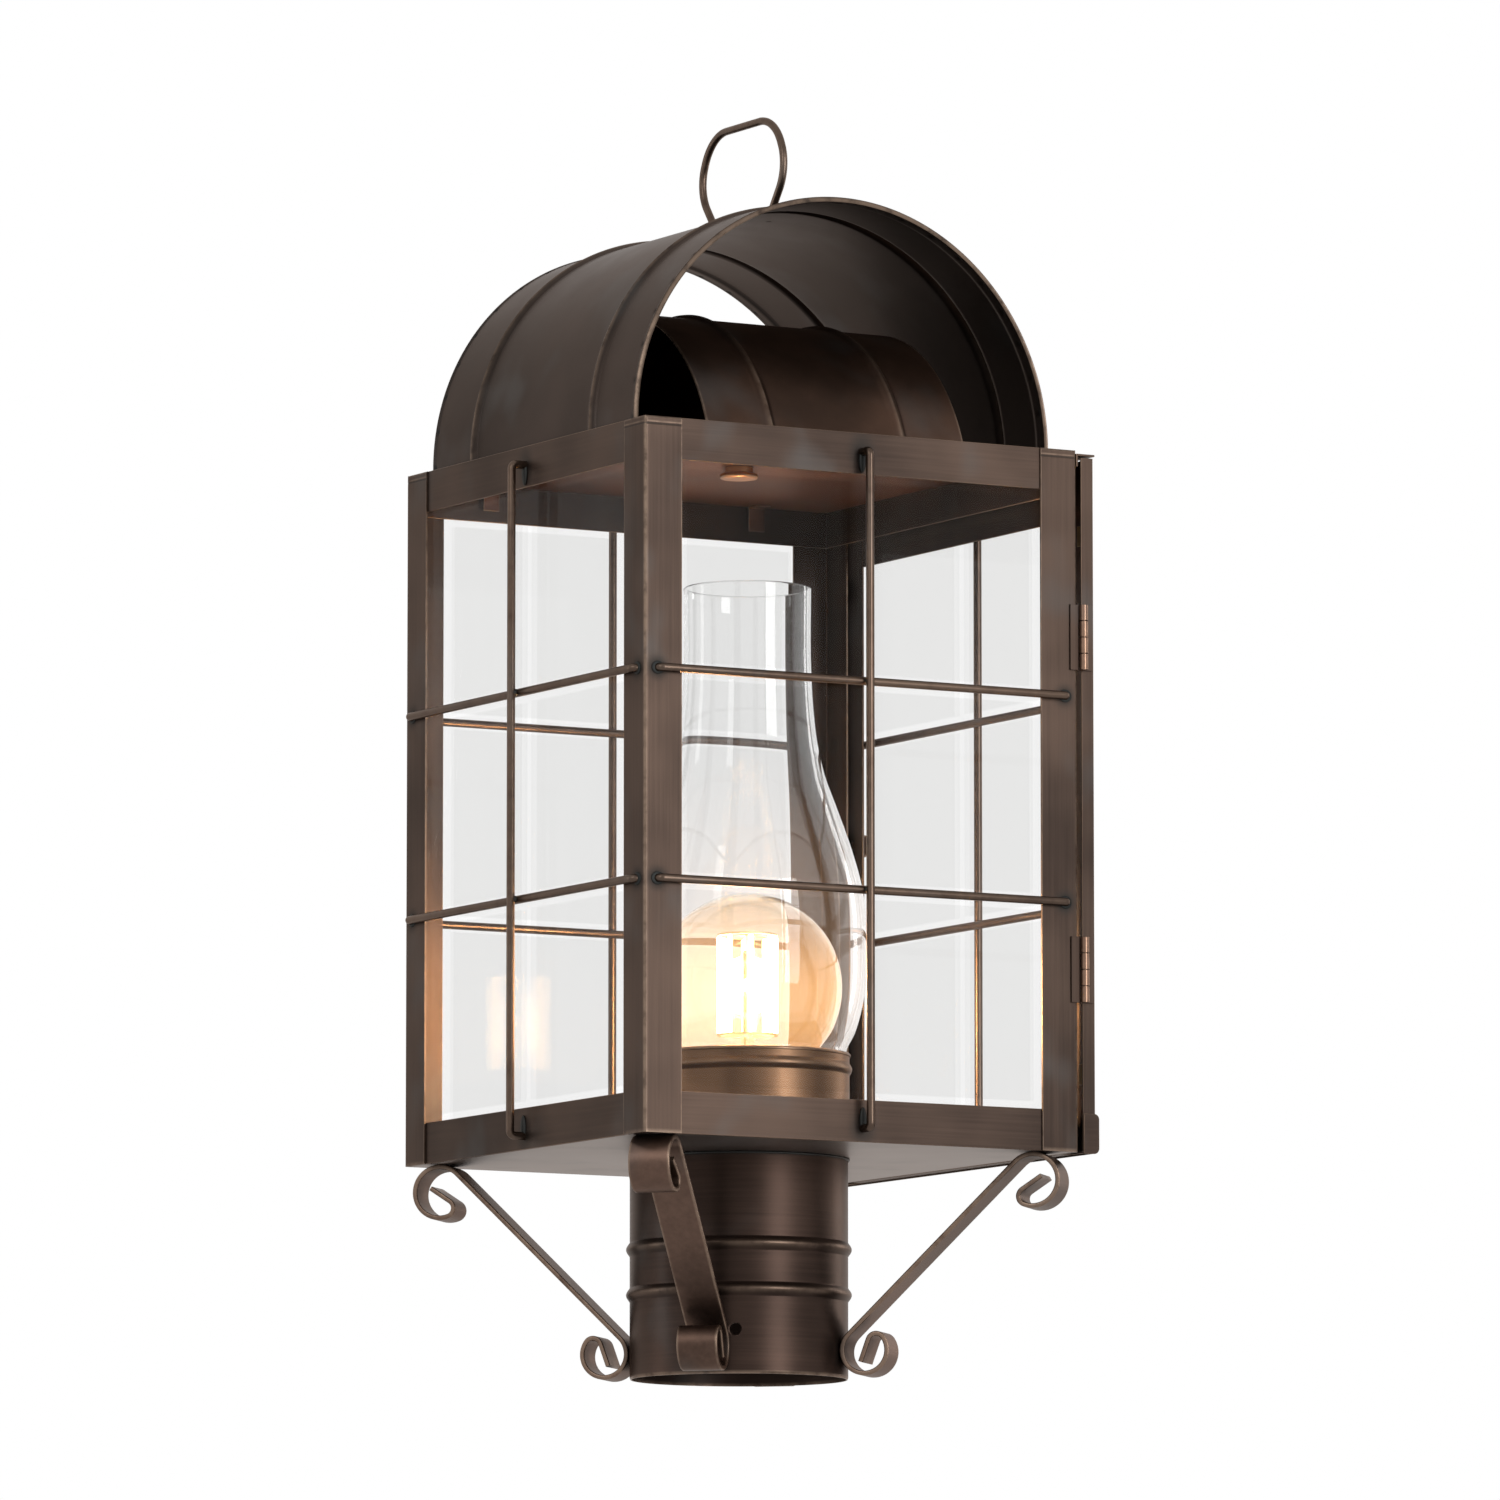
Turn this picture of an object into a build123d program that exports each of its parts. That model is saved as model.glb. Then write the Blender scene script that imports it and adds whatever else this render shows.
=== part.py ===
from build123d import *
from math import asin, atan2, cos, hypot, radians, sin, sqrt
import os

os.makedirs("parts", exist_ok=True)

# A lantern that stands on a round post: a square glazed case on a post fitter, four scrolled
# brackets, a lamp with a glass chimney, a hinged door, and a round-topped roof over a vent hood.
# +X is the door side, -Y the front, +Z up. The origin is the centre of the fitter's lower rim.
# All sizes are in millimetres.

# ---------------------------------------------------------------- driving dimensions

# sheet, strip, wire and glass
sheet = 0.8                      # brass sheet of posts, rails, roof, fitter and door
plate = 1.0                      # base plate and ceiling plate
glass = 2.4                      # window panes
wire = 3.2                       # guard wires
running_gap = 0.3                # room left around pieces that lift, turn or swing
seat_gap = 0.05                  # room left where one fixed piece slips into another

# case
case_width = 190.5
case_height = 271.0
post_leg = 16.2                  # width of a corner post on each face
rail_height = 16.0
ceiling_drop = 0.8               # ceiling plate's top below the case's top edge

# post fitter
post_bore = 82.55                # inside diameter, for a 3 inch post
fitter_height = 85.0
fitter_bead = 1.5                # how far a bead stands out
fitter_bead_root = 0.5           # how far the bead's middle lies inside the face
fitter_bead_heights = (32.5, 50.0)
set_screw_hole = 4.4
set_screw_height = 17.0
set_screw_count = 3
set_screw_start = 238.5          # bearing of the first hole, degrees from +X

# scrolled brackets
bracket_width = 16.0
bracket_strip = 1.8
top_scroll_inset = 16.5          # top scroll's centre, in from the case's corner
top_scroll_radius = 9.9
top_scroll_turn = 245.0
bottom_scroll_radius = 8.8
bottom_scroll_turn = 260.0
bottom_scroll_lift = 0.5         # clearance of the bottom scroll above the fitter's rim
hook_radius = 3.25
hook_turn = 126.0
scroll_tail = 9.2

# roof and vent hood
roof_side_inset = 2.25           # roof's side, in from the rails' inner face
roof_end_inset = 12.65           # roof's open end, in from the rails' inner face
roof_skirt = 1.9                 # straight foot under the round part
hem_width = 7.0
roof_bead = 1.6
roof_bead_spread = 94.0          # distance between the two beads
vent_side_inset = 17.65          # hood's long side, in from the rails' inner face
vent_end_inset = 36.65           # hood's open end, in from the rails' inner face
vent_headroom = 36.7             # how much lower than the roof's radius the hood rises
vent_bead_inset = 28.0           # beads, in from the hood's open ends

# loop on the roof
loop_wire = 3.0
loop_foot = 17.8                 # half distance between the feet, a wire's width below the crest
loop_belly = 34.3
loop_shoulder = 24.7
loop_height = 39.6
loop_belly_height = 18.8
loop_belly_round = 16.5
loop_shoulder_round = 18.5
loop_shift = -3.2                # the loop's middle along Y

# guard wires
wire_clearance = 0.4             # daylight between a level wire and the face behind it
wire_end_inset = 5.6             # level wires' ends, from the case's corner
upright_low_inset = 5.2          # an upright's lower foot, from the case's bottom edge
upright_high_inset = 7.4         # its upper foot, from the case's top edge
wire_inner_bend = 0.3            # radius on the inside of a wire's bend

# door
door_gap = 2.0
door_depth = 5.4
door_top_drop = 2.7
door_top_rail = 22.0             # the door's upper rail is wider than the case's
kick_height = 15.4
kick_depth = 1.5
kick_wrap = 0.7
kick_drop = 0.5                  # how far the strip hangs below the case
kick_round = 2.2
lip_reach = 8.3
lip_flange = 5.0
lip_drop = 1.2

# hinges
hinge_length = 25.4
hinge_knuckles = 4
hinge_top_inset = 72.7           # upper hinge's middle, from the case's top edge
hinge_bottom_inset = 70.0        # lower hinge's middle, from the case's bottom edge
knuckle = 3.4
hinge_pin = 1.6
pin_clearance = 0.05
case_leaf_width = 5.4
door_leaf_width = 4.4
leaf_sheet = 0.8

# knob and catch
knob_stem = 3.0
knob_outline = ((0, 3.0), (0.8, 3.0), (1.6, 2.0), (3.2, 4.5), (5.3, 4.5), (6.0, 3.0))
catch_width = 8.0
catch_length = 18.0
catch_sheet = 0.5
catch_end = 2.0                  # flat length at each end of the bowed strip

# lamp
lamp_x = 3.8                     # the lamp stands this far towards the door
gallery_clearance = 0.5          # between the chimney's base and the gallery's wall
gallery_height = 40.0
gallery_seat = 27.0              # chimney ledge above the base plate
gallery_ledge = 5.6
gallery_bead = 1.0
gallery_bead_drop = 5.0
nipple_radius = 4.8
nipple_bore = 3.3
nut_across = 14.0
nut_height = 2.5
jam_nut_height = 1.5
thread_end = 1.0                 # thread that shows beyond a nut
washer_radius = 9.0
socket_radius = 18.5
socket_wall = 3.9
socket_floor = 1.0
washer_sheet = 0.5
socket_height = 27.0
disc_height = 1.0
contact_height = 0.5
contact_radius = 5.0
shell_wall = 1.0
shell_drop = 2.0                 # shell's rim below the socket's rim
turned_round = 0.8

# glass chimney
chimney_wall = 1.0
chimney_headroom = 46.9          # from the chimney's top to the ceiling
bulb_clearance = 0.5             # between the globe and the chimney's base
# outline: share of the height above the gallery's rim, and how far the outside stands beyond the
# base radius
chimney_outline = (
    (0, 0),
    (0.046, 3.5),
    (0.112, 6.7),
    (0.217, 8.0),
    (0.355, 6.3),
    (0.437, 2.3),
    (0.526, -3.4),
    (0.598, -8.1),
    (0.664, -10.8),
    (0.746, -12.5),
    (0.834, -13.3),
    (1, -13.3),
)

# bulb
bulb_radius = 36.6
globe_gap = 0.3                  # between the cap's rim and the globe
bulb_wall = 0.8
bulb_neck = 12.4
neck_overlap = 4.0               # how deep the neck sits in the cap
cap_radius = 13.1
cap_wall = 0.5
cap_length = 20.4
button_radius = 4.7
button_height = 1.4
button_round = 0.6
collar_height = 3.5
collar_foot = 5.5
collar_head = 11.5
stem_flare = 11.4
stem_radius = 2.6
stem_foot = 1.0
flare_height = 12.0
flare_round = 16.0
stem_rise = 14.4                 # stem's top above the globe's centre
filament_count = 8
filament_circle = 11.0
filament_radius = 0.9
filament_length = 38.0
filament_rise = 1.0              # filaments' middle above the globe's centre
support_wire = 0.7

# ceiling button
button_stem = 2.5
ceiling_button_radius = 7.5
ceiling_button_height = 2.4
ceiling_neck_radius = 5.5
ceiling_neck_height = 2.0
ceiling_nut_across = 9.4

# clips and tabs that hold the panes
clip_width = 7.0
clip_height = 10.0
clip_foot = 6.0
clip_sheet = 0.6
clip_spread = 120.0
tab_height = 8.0
tab_reach = 5.0
tab_inset = 30.0

# ---------------------------------------------------------------- derived places

half = case_width / 2
rail_out = half - sheet                      # rails lie behind the posts
rail_in = half - 2 * sheet
case_bottom = fitter_height
case_top = case_bottom + case_height
floor_z = case_bottom + plate                # top of the base plate
ceiling_top = case_top - ceiling_drop
ceiling_under = ceiling_top - plate
opening_bottom = case_bottom + rail_height
opening_top = case_top - rail_height
pane_half = rail_in - running_gap
pane_height = ceiling_under - floor_z - running_gap
pane_in = rail_in - glass

door_in = half + door_gap
door_out = door_in + door_depth
door_bottom = case_bottom + running_gap
door_top = case_top - door_top_drop
door_height = door_top - door_bottom

fitter_radius = post_bore / 2 + sheet
roof_radius = rail_in - roof_side_inset
roof_length = 2 * (rail_in - roof_end_inset)
roof_centre = ceiling_top + roof_skirt
roof_crest = roof_centre + roof_radius
vent_half_chord = rail_in - vent_side_inset
vent_length = 2 * (rail_in - vent_end_inset)
vent_rise = roof_radius - vent_headroom
vent_radius = (vent_half_chord ** 2 + vent_rise ** 2) / (2 * vent_rise)
vent_centre = ceiling_top + vent_rise - vent_radius
wire_bend = wire / 2 + wire_inner_bend
wire_standoff = wire / 2 + wire_clearance
upright_standoff = wire_standoff + wire + seat_gap

hinge_x = door_in
hinge_y = -half - knuckle / 2

chimney_base = bulb_radius + bulb_clearance + chimney_wall
gallery_radius = chimney_base + gallery_clearance

sides = {"front": 270, "right": 0, "back": 90, "left": 180}
corners = {"front_left": (-1, -1), "front_right": (1, -1), "back_right": (1, 1), "back_left": (-1, 1)}
lamp_plane = Plane(origin=(lamp_x, 0, 0), x_dir=(1, 0, 0), z_dir=(0, -1, 0))


def save(piece, name):
    """Label a finished piece and write it to its own file."""
    piece.part.label = name
    export_step(piece.part, f"parts/{name}.step")


def face_plane(side, distance, height=0.0):
    """A plane on one side of the case: x runs along the face, y runs up, z points outward."""
    bearing = radians(sides[side])
    outward = (cos(bearing), sin(bearing), 0)
    along = (-sin(bearing), cos(bearing), 0)
    origin = (outward[0] * distance, outward[1] * distance, height)
    return Plane(origin=origin, x_dir=along, z_dir=outward)


def lamp_level(height):
    """A level plane on the lamp's own axis."""
    return Plane(origin=(lamp_x, 0, height))


# ---------------------------------------------------------------- case: posts, rails, plates

for corner, (sx, sy) in corners.items():
    side_x = Align.MAX if sx > 0 else Align.MIN
    side_y = Align.MAX if sy > 0 else Align.MIN
    with BuildPart() as corner_post:
        with BuildSketch(Plane.XY.offset(case_bottom)):
            with Locations((sx * half, sy * half)):
                Rectangle(post_leg, post_leg, align=(side_x, side_y))
            with Locations((sx * rail_out, sy * rail_out)):
                Rectangle(post_leg, post_leg, align=(side_x, side_y), mode=Mode.SUBTRACT)
        extrude(amount=case_height)
    save(corner_post, f"corner_post_{corner}")

for side in sides:
    # front and back rails run the full width, the other two fit between them
    rail_half = rail_out if side in ("front", "back") else rail_in
    for level, z in (("bottom", case_bottom), ("top", opening_top)):
        with BuildPart() as rail:
            with BuildSketch(face_plane(side, rail_in, z)):
                Rectangle(2 * rail_half, rail_height, align=(Align.CENTER, Align.MIN))
            extrude(amount=sheet)
        save(rail, f"{level}_rail_{side}")

with BuildPart() as base_plate:
    with BuildSketch(Plane.XY.offset(case_bottom)):
        Rectangle(2 * rail_in, 2 * rail_in)
        with Locations((lamp_x, 0)):
            Circle(nipple_radius + seat_gap, mode=Mode.SUBTRACT)
    extrude(amount=plate)
save(base_plate, "base_plate")

with BuildPart() as ceiling_plate:
    with BuildSketch(Plane.XY.offset(ceiling_under)):
        Rectangle(2 * rail_in, 2 * rail_in)
        Circle(button_stem + seat_gap, mode=Mode.SUBTRACT)
    extrude(amount=plate)
save(ceiling_plate, "ceiling_plate")

# a drip lip over the door: a flange on the case's face and a shelf that covers the door's top edge
lip_plane = Plane(origin=(half, half, case_top - lip_drop), x_dir=(1, 0, 0), z_dir=(0, -1, 0))
with BuildPart() as door_lip:
    with BuildSketch(lip_plane):
        Rectangle(lip_reach, sheet, align=(Align.MIN, Align.MAX))
        Rectangle(sheet, lip_flange, align=(Align.MIN, Align.MAX))
    extrude(amount=case_width)
save(door_lip, "door_lip")

# a turned button hangs under the ceiling; its stem passes through and is held by a nut
with BuildPart() as ceiling_button:
    with BuildSketch(Plane.XY.offset(ceiling_under)):
        Circle(ceiling_neck_radius)
    extrude(amount=-ceiling_neck_height)
    with BuildSketch(Plane.XY.offset(ceiling_under - ceiling_neck_height)):
        Circle(ceiling_button_radius)
    extrude(amount=-ceiling_button_height)
    fillet(ceiling_button.edges().filter_by(GeomType.CIRCLE).sort_by(Axis.Z)[0], turned_round)
    with BuildSketch(Plane.XY.offset(ceiling_under)):
        Circle(button_stem)
    extrude(amount=plate + nut_height + thread_end)
save(ceiling_button, "ceiling_button")

with BuildPart() as ceiling_nut:
    with BuildSketch(Plane.XY.offset(ceiling_top)):
        RegularPolygon(ceiling_nut_across / 2, 6, major_radius=False)
        Circle(button_stem + seat_gap, mode=Mode.SUBTRACT)
    extrude(amount=nut_height)
save(ceiling_nut, "ceiling_nut")

# ---------------------------------------------------------------- window panes and their clips

for side in ("front", "back", "left"):
    # the left pane fits between the front and back panes
    half_width = pane_half if side != "left" else pane_half - glass
    with BuildPart() as window:
        with BuildSketch(face_plane(side, pane_in, floor_z)):
            Rectangle(2 * half_width, pane_height, align=(Align.CENTER, Align.MIN))
        extrude(amount=glass)
    save(window, f"glass_{side}")

with BuildPart() as glass_clips:
    for side in ("front", "back", "left"):
        for level, turn in ((floor_z, 1), (ceiling_under, -1)):
            upright_end = Align.MIN if turn > 0 else Align.MAX
            with BuildSketch(face_plane(side, pane_in - clip_sheet, level)):
                with GridLocations(clip_spread, 0, 2, 1):
                    Rectangle(clip_width, clip_height, align=(Align.CENTER, upright_end))
            extrude(amount=clip_sheet)
            with BuildSketch(face_plane(side, pane_in - clip_foot, level)):
                with GridLocations(clip_spread, 0, 2, 1):
                    Rectangle(clip_width, clip_sheet, align=(Align.CENTER, upright_end))
            extrude(amount=clip_foot)
save(glass_clips, "glass_clips")

# ---------------------------------------------------------------- guard wires


def bent_wire(plane, start, end, standoff, first_foot=0.0):
    """One staple of guard wire: two short feet square to the face and a long run between them."""
    with BuildPart() as staple:
        with BuildLine(plane) as route:
            FilletPolyline(
                (first_foot, start),
                (standoff, start),
                (standoff, end),
                (0, end),
                radius=wire_bend,
            )
        with BuildSketch(Plane(origin=route.line @ 0, z_dir=route.line % 0)):
            Circle(wire / 2)
        sweep()
    return staple.part


def upright_plane(side, distance):
    """A plane square to a face, through its middle: x points outward, y runs up."""
    bearing = radians(sides[side])
    outward = (cos(bearing), sin(bearing), 0)
    across = (sin(bearing), -cos(bearing), 0)
    return Plane(origin=(outward[0] * distance, outward[1] * distance, 0), x_dir=outward, z_dir=across)


def level_plane(side, distance, height):
    """A level plane at a face: x points outward, y runs along the face."""
    bearing = radians(sides[side])
    outward = (cos(bearing), sin(bearing), 0)
    return Plane(origin=(outward[0] * distance, outward[1] * distance, height), x_dir=outward)


opening_height = opening_top - opening_bottom
level_heights = [opening_bottom + opening_height * n / 3 for n in (1, 2)]
wire_half = half - wire_end_inset

for side in sides:
    # the upright stands on the rails; on the door its lower foot stands on the kick strip
    on_door = side == "right"
    outer_face = door_out if on_door else half
    upright_foot = door_out if on_door else rail_out
    with BuildPart() as guard_wires:
        add(
            bent_wire(
                upright_plane(side, upright_foot),
                case_bottom + upright_low_inset,
                case_top - upright_high_inset,
                upright_standoff + outer_face - upright_foot,
                kick_depth if on_door else 0.0,
            )
        )
        for height in level_heights:
            add(bent_wire(level_plane(side, outer_face, height), -wire_half, wire_half, wire_standoff))
    save(guard_wires, f"guard_wires_{side}")

# ---------------------------------------------------------------- post fitter

with BuildPart() as post_fitter:
    with BuildSketch(Plane.XY):
        Circle(fitter_radius)
    extrude(amount=fitter_height)
    for height in fitter_bead_heights:
        with BuildSketch(Plane.XZ):
            with Locations((fitter_radius - fitter_bead_root, height)):
                Circle(fitter_bead + fitter_bead_root)
        revolve(axis=Axis.Z)
    with BuildSketch(Plane.XY):
        Circle(post_bore / 2)
    extrude(amount=fitter_height, mode=Mode.SUBTRACT)
    for number in range(set_screw_count):
        bearing = radians(set_screw_start + number * 360 / set_screw_count)
        outward = (cos(bearing), sin(bearing), 0)
        with BuildSketch(Plane(origin=(0, 0, set_screw_height), z_dir=outward)):
            Circle(set_screw_hole / 2)
        extrude(amount=2 * fitter_radius, mode=Mode.SUBTRACT)
save(post_fitter, "post_fitter")

# ---------------------------------------------------------------- scrolled brackets

# Each bracket is one strip, bent in the upright plane through its corner. The strip's middle line
# is a straight run, a large scroll at each end, a tight hook and a straight tail.
top_centre = (half * sqrt(2) - top_scroll_inset, case_bottom - bracket_strip / 2 - top_scroll_radius)
bottom_centre = (
    fitter_radius + bracket_strip / 2 + bottom_scroll_radius,
    bottom_scroll_lift + bracket_strip / 2 + bottom_scroll_radius,
)
run_across = top_centre[0] - bottom_centre[0]
run_up = top_centre[1] - bottom_centre[1]
run_slope = atan2(run_up, run_across)
run_slope += asin((top_scroll_radius - bottom_scroll_radius) / hypot(run_across, run_up))
square_off = (-sin(run_slope), cos(run_slope))
run_start = [bottom_centre[n] + bottom_scroll_radius * square_off[n] for n in (0, 1)]
run_end = [top_centre[n] + top_scroll_radius * square_off[n] for n in (0, 1)]

for corner, (sx, sy) in corners.items():
    across = (sx * sqrt(0.5), sy * sqrt(0.5), 0)
    square = (across[1], -across[0], 0)
    with BuildPart() as scroll_bracket:
        with BuildLine(Plane(origin=(0, 0, 0), x_dir=across, z_dir=square)) as middle:
            run = Line(tuple(run_start), tuple(run_end))
            top = JernArc(run @ 1, run % 1, top_scroll_radius, -top_scroll_turn)
            top_hook = JernArc(top @ 1, top % 1, hook_radius, -hook_turn)
            Line(top_hook @ 1, top_hook @ 1 + (top_hook % 1) * scroll_tail)
            bottom = JernArc(run @ 0, (run % 0) * -1, bottom_scroll_radius, bottom_scroll_turn)
            bottom_hook = JernArc(bottom @ 1, bottom % 1, hook_radius, hook_turn)
            Line(bottom_hook @ 1, bottom_hook @ 1 + (bottom_hook % 1) * scroll_tail)
        spine = middle.wire()
        with BuildSketch(Plane(origin=spine @ 0, x_dir=square, z_dir=spine % 0)):
            Rectangle(bracket_width, bracket_strip)
        sweep(path=spine)
    save(scroll_bracket, f"scroll_bracket_{corner}")

# ---------------------------------------------------------------- roof

with BuildPart() as roof_vault:
    roof_end = Plane(origin=(0, roof_length / 2, roof_centre), x_dir=(1, 0, 0), z_dir=(0, -1, 0))
    with BuildSketch(roof_end):
        Circle(roof_radius)
        with Locations((0, -roof_skirt)):
            Rectangle(2 * roof_radius, 2 * roof_radius, align=(Align.CENTER, Align.MAX), mode=Mode.SUBTRACT)
        with Locations((0, 0)):
            Rectangle(2 * roof_radius, roof_skirt, align=(Align.CENTER, Align.MAX))
    extrude(amount=roof_length)
    for spread in (-roof_bead_spread / 2, roof_bead_spread / 2):
        with BuildLine(Plane(origin=(0, spread, roof_centre), x_dir=(1, 0, 0), z_dir=(0, -1, 0))) as ridge:
            foot_left = Line((-roof_radius, -roof_skirt), (-roof_radius, 0))
            arch = RadiusArc((-roof_radius, 0), (roof_radius, 0), roof_radius)
            foot_right = Line((roof_radius, 0), (roof_radius, -roof_skirt))
        ridge_line = ridge.wire()
        with BuildSketch(Plane(origin=ridge_line @ 0, z_dir=ridge_line % 0)):
            Circle(roof_bead)
        sweep(path=ridge_line)
    # the sheet is doubled inside each open end, where it is folded back as a hem
    for wall, length in ((2 * sheet, roof_length), (sheet, roof_length - 2 * hem_width)):
        inner = roof_radius - wall
        with BuildSketch(roof_end.offset((roof_length - length) / 2)):
            Circle(inner)
            with Locations((0, 0)):
                Rectangle(2 * inner, 2 * roof_radius, align=(Align.CENTER, Align.MAX))
        extrude(amount=length, mode=Mode.SUBTRACT)
save(roof_vault, "roof_vault")

with BuildPart() as vent_hood:
    vent_end = Plane(origin=(-vent_length / 2, 0, vent_centre), x_dir=(0, 1, 0), z_dir=(1, 0, 0))
    with BuildSketch(vent_end):
        Circle(vent_radius)
    extrude(amount=vent_length)
    for spread in (vent_bead_inset - vent_length / 2, vent_length / 2 - vent_bead_inset):
        with BuildSketch(Plane(origin=(spread, 0, vent_centre), x_dir=(1, 0, 0), z_dir=(0, 1, 0))):
            with Locations((0, vent_radius)):
                Circle(roof_bead)
        revolve(axis=Axis((0, 0, vent_centre), (1, 0, 0)))
    with BuildSketch(vent_end):
        Circle(vent_radius - sheet)
    extrude(amount=vent_length, mode=Mode.SUBTRACT)
    split(bisect_by=Plane.XY.offset(ceiling_top), keep=Keep.TOP)
save(vent_hood, "vent_hood")

# the loop's feet stand on the crest of the roof
with BuildPart() as top_loop:
    with BuildLine(Plane(origin=(0, loop_shift, roof_crest), x_dir=(0, 1, 0), z_dir=(1, 0, 0))) as bow:
        FilletPolyline(
            (-loop_foot, -loop_wire),
            (-loop_belly, loop_belly_height),
            (-loop_shoulder, loop_height),
            (loop_shoulder, loop_height),
            (loop_belly, loop_belly_height),
            (loop_foot, -loop_wire),
            radius=(
                loop_belly_round,
                loop_shoulder_round,
                loop_shoulder_round,
                loop_belly_round,
            ),
        )
    with BuildSketch(Plane(origin=bow.line @ 0, z_dir=bow.line % 0)):
        Circle(loop_wire / 2)
    sweep()
    split(bisect_by=Plane.XY.offset(roof_crest), keep=Keep.TOP)
save(top_loop, "top_loop")

# ---------------------------------------------------------------- lamp holder

with BuildPart() as chimney_gallery:
    with BuildSketch(lamp_plane):
        with BuildLine():
            wall_out = gallery_radius + sheet
            ledge_top = floor_z + gallery_seat
            ledge_in = gallery_radius - gallery_ledge
            Polyline(
                (nipple_radius + seat_gap, floor_z),
                (wall_out, floor_z),
                (wall_out, floor_z + gallery_height),
                (gallery_radius, floor_z + gallery_height),
                (gallery_radius, ledge_top),
                (ledge_in, ledge_top),
                (ledge_in, ledge_top - sheet),
                (gallery_radius, ledge_top - sheet),
                (gallery_radius, floor_z + sheet),
                (nipple_radius + seat_gap, floor_z + sheet),
                close=True,
            )
        make_face()
        with Locations((wall_out, floor_z + gallery_height - gallery_bead_drop)):
            Circle(gallery_bead)
        with Locations((gallery_radius, floor_z + gallery_height - gallery_bead_drop)):
            Rectangle(gallery_bead, 2 * gallery_bead, align=(Align.MAX, Align.CENTER), mode=Mode.SUBTRACT)
    revolve(axis=Axis((lamp_x, 0, 0), (0, 0, 1)))
save(chimney_gallery, "chimney_gallery")

socket_z = floor_z + sheet
socket_inside = socket_radius - socket_wall
washer_z = socket_z + socket_floor
jam_nut_z = washer_z + washer_sheet
disc_z = jam_nut_z + jam_nut_height
contact_z = disc_z + disc_height

# the nipple ends flush under the base plate; its nut clamps the socket and the gallery from inside
with BuildPart() as lamp_nipple:
    with BuildSketch(lamp_level(case_bottom)):
        Circle(nipple_radius)
        Circle(nipple_bore, mode=Mode.SUBTRACT)
    extrude(amount=disc_z - case_bottom)
save(lamp_nipple, "lamp_nipple")

with BuildPart() as nipple_washer:
    with BuildSketch(lamp_level(washer_z)):
        Circle(washer_radius)
        Circle(nipple_radius + seat_gap, mode=Mode.SUBTRACT)
    extrude(amount=washer_sheet)
save(nipple_washer, "nipple_washer")

with BuildPart() as nipple_nut:
    with BuildSketch(lamp_level(jam_nut_z)):
        RegularPolygon(nut_across / 2, 6, major_radius=False)
        Circle(nipple_radius + seat_gap, mode=Mode.SUBTRACT)
    extrude(amount=jam_nut_height)
save(nipple_nut, "nipple_nut")

with BuildPart() as socket_body:
    with BuildSketch(lamp_level(socket_z)):
        Circle(socket_radius)
    extrude(amount=socket_height)
    with BuildSketch(lamp_level(washer_z)):
        Circle(socket_inside)
    extrude(amount=socket_height, mode=Mode.SUBTRACT)
    with BuildSketch(lamp_level(socket_z)):
        Circle(nipple_radius + seat_gap)
    extrude(amount=socket_height, mode=Mode.SUBTRACT)
    fillet(socket_body.edges().filter_by(GeomType.CIRCLE).group_by(Axis.Z)[-1], turned_round)
save(socket_body, "socket_body")

with BuildPart() as contact_disc:
    with BuildSketch(lamp_level(disc_z)):
        Circle(socket_inside - seat_gap)
    extrude(amount=disc_height)
save(contact_disc, "contact_disc")

with BuildPart() as centre_contact:
    with BuildSketch(lamp_level(contact_z)):
        Circle(contact_radius)
    extrude(amount=contact_height)
save(centre_contact, "centre_contact")

with BuildPart() as socket_shell:
    with BuildSketch(lamp_level(contact_z)):
        Circle(socket_inside - seat_gap)
        Circle(socket_inside - seat_gap - shell_wall, mode=Mode.SUBTRACT)
    extrude(amount=socket_z + socket_height - shell_drop - contact_z)
save(socket_shell, "socket_shell")

# ---------------------------------------------------------------- glass chimney

# the base is straight inside the gallery, and the curve starts at the gallery's rim
chimney_z = floor_z + gallery_seat + running_gap
chimney_foot = floor_z + gallery_height
chimney_rise = ceiling_under - chimney_headroom - chimney_foot
chimney_edge = [(chimney_base, chimney_z)]
chimney_edge += [
    (chimney_base + swell, chimney_foot + share * chimney_rise) for share, swell in chimney_outline
]

with BuildPart() as glass_chimney:
    with BuildSketch(lamp_plane):
        with BuildLine():
            for inset in (0, chimney_wall):
                points = [(radius - inset, height) for radius, height in chimney_edge]
                Line(points[0], points[1])
                Spline(*points[1:-1], tangents=[(0, 1), (0, 1)])
                Line(points[-2], points[-1])
            for radius, height in (chimney_edge[0], chimney_edge[-1]):
                Line((radius - chimney_wall, height), (radius, height))
        make_face()
    revolve(axis=Axis((lamp_x, 0, 0), (0, 0, 1)))
save(glass_chimney, "glass_chimney")

# ---------------------------------------------------------------- bulb

bulb_foot = contact_z + contact_height + running_gap
collar_z = bulb_foot + button_height
cap_z = collar_z + collar_height
globe_z = cap_z + cap_length + globe_gap + sqrt(bulb_radius ** 2 - bulb_neck ** 2)
neck_z = cap_z + cap_length - neck_overlap

with BuildPart() as bulb_button:
    with BuildSketch(lamp_level(bulb_foot)):
        Circle(button_radius)
    extrude(amount=button_height)
    fillet(bulb_button.edges().filter_by(GeomType.CIRCLE).sort_by(Axis.Z)[0], button_round)
save(bulb_button, "bulb_button")

with BuildPart() as bulb_collar:
    with BuildSketch(lamp_plane):
        Polygon(
            (0, collar_z),
            (collar_foot, collar_z),
            (collar_head, cap_z),
            (0, cap_z),
            align=None,
        )
    revolve(axis=Axis((lamp_x, 0, 0), (0, 0, 1)))
save(bulb_collar, "bulb_collar")

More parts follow.
